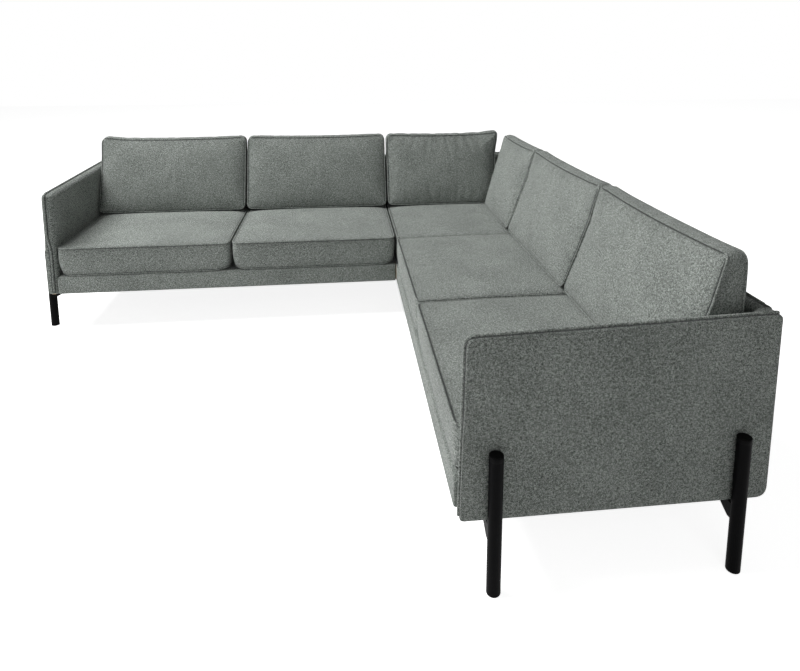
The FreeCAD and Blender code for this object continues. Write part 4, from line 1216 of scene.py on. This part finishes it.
KEPT = {
    "rail_wood": ["front_rail", "back_rail", "joint_rail", "middle_rail", "arm_rail", "rear_rail"],
    "plywood": ["panel"],
    "fastener_steel": ["connector_bolts", "leg_bolts", "leg_screws"],
    "leg_paint": ["_leg", "_foot"],
    "black_plastic": ["leg_glides"],
}


def dress_frame():
    """Gives the frame's own pieces their finishes."""
    for name, piece in frame["nodes"].items():
        for slot, words in KEPT.items():
            if any(word in name for word in words):
                for place in piece.material_slots:
                    place.material = MATERIALS[slot]


# Floor, light and camera

WHITE = (1, 1, 1, 1)
FLOOR_REACH = 14.0
FLOOR_GLOW = 0.85
DOME_STRENGTH = 0.13
LAMPS = {"key": ((-3.6, 0.5, 5.6), 3.6, 520), "front_fill": ((0.5, -6.0, 3.0), 4.0, 38)}
LAMP_AIM = Vector((0, 0, 0.4))
CAMERA_PLACE = (0.178, -2.847, 1.478)
CAMERA_DIP = 0.1615
CAMERA_TURN = -0.1126
LENS = {"lens": 28.64, "sensor_width": 36, "shift_x": -0.0131, "shift_y": -0.232}


def make_floor():
    """A plain pale floor, which looks evenly lit to the camera."""
    corners = rectangle((-FLOOR_REACH, FLOOR_REACH), (-FLOOR_REACH, FLOOR_REACH))
    floor = new_piece("floor", [(x, y, 0) for x, y in corners], [], [(0, 1, 2, 3)])
    paper = Finish("pale_floor", Roughness=0.9, Specular_IOR_Level=0.0, Emission_Color=WHITE)
    spots = paper.mottle(paper.node("ShaderNodeTexCoord").outputs["Object"], 3)
    paper.set(paper.shader, Base_Color=paper.mix(spots, (0.90, 0.90, 0.90), (0.92, 0.92, 0.92)),
              Emission_Strength=paper.sum("MULTIPLY", paper.seen_directly(), FLOOR_GLOW))
    floor.data.materials.append(paper.material)


def make_light():
    """A white backdrop that lights only softly, and two large lamps."""
    world = bpy.data.worlds.new("studio")
    bpy.context.scene.world = world
    world.use_nodes = True
    world.node_tree.nodes.clear()
    sky = Nodes(world.node_tree)
    dome = sky.node("ShaderNodeBackground", Color=WHITE, Strength=DOME_STRENGTH)
    backdrop = sky.node("ShaderNodeBackground", Color=WHITE, Strength=1.0)
    mix = sky.node("ShaderNodeMixShader", sky.seen_directly(), dome.outputs[0], backdrop.outputs[0])
    sky.node("ShaderNodeOutputWorld", Surface=mix.outputs[0])
    for label, (spot, size, power) in LAMPS.items():
        lamp = bpy.data.lights.new(label, "AREA")
        lamp.size, lamp.energy = size, power
        holder = linked(label, lamp)
        holder.location = spot
        holder.rotation_euler = (LAMP_AIM - Vector(spot)).to_track_quat("-Z", "Y").to_euler()


def make_camera():
    """The photograph's camera: level from side to side, dipped a little, its view shifted down."""
    lens = bpy.data.cameras.new("camera")
    for label, value in LENS.items():
        setattr(lens, label, value)
    camera = linked("camera", lens)
    camera.location = CAMERA_PLACE
    camera.rotation_euler = (math.pi / 2 - CAMERA_DIP, 0, CAMERA_TURN)
    bpy.context.scene.camera = camera
    bpy.context.scene.view_settings.view_transform = "Standard"


# The whole sofa; a unit's clear size is its range along the run and its range from the back

RUN_UNIT = (UNIT_DEPTH, ARM_INSIDE), (BACK_THICK, UNIT_DEPTH - RAIL_THICK)
CORNER_UNIT = (BACK_THICK, UNIT_DEPTH), (BACK_THICK, UNIT_DEPTH)

make_floor()
make_light()
make_camera()
dress_frame()
for run_name in RUNS:
    make_arm(run_name)
    make_low_back(f"{run_name}_back_cover", run_name, UNIT_DEPTH, ARM_INSIDE)
    make_front_rail(run_name)
    make_deck(f"{run_name}_seat_deck", *RUN_UNIT)
    make_lining(f"{run_name}_dust_cover", *RUN_UNIT,
                [f"{run_name}_front_rail", f"{run_name}_back_rail"])
make_low_back("corner_back_cover_left", "left", 0.0, UNIT_DEPTH)
make_low_back("corner_back_cover_right", "right", BACK_THICK, UNIT_DEPTH)
make_deck("corner_seat_deck", *CORNER_UNIT)
make_lining("corner_dust_cover", *CORNER_UNIT, ["corner_joint_rail_left", "corner_joint_rail_right"])
for unit in (*RUNS, "corner"):
    make_webbing(f"{unit}_seat_webbing")
make_leg_caps()
make_cushions()
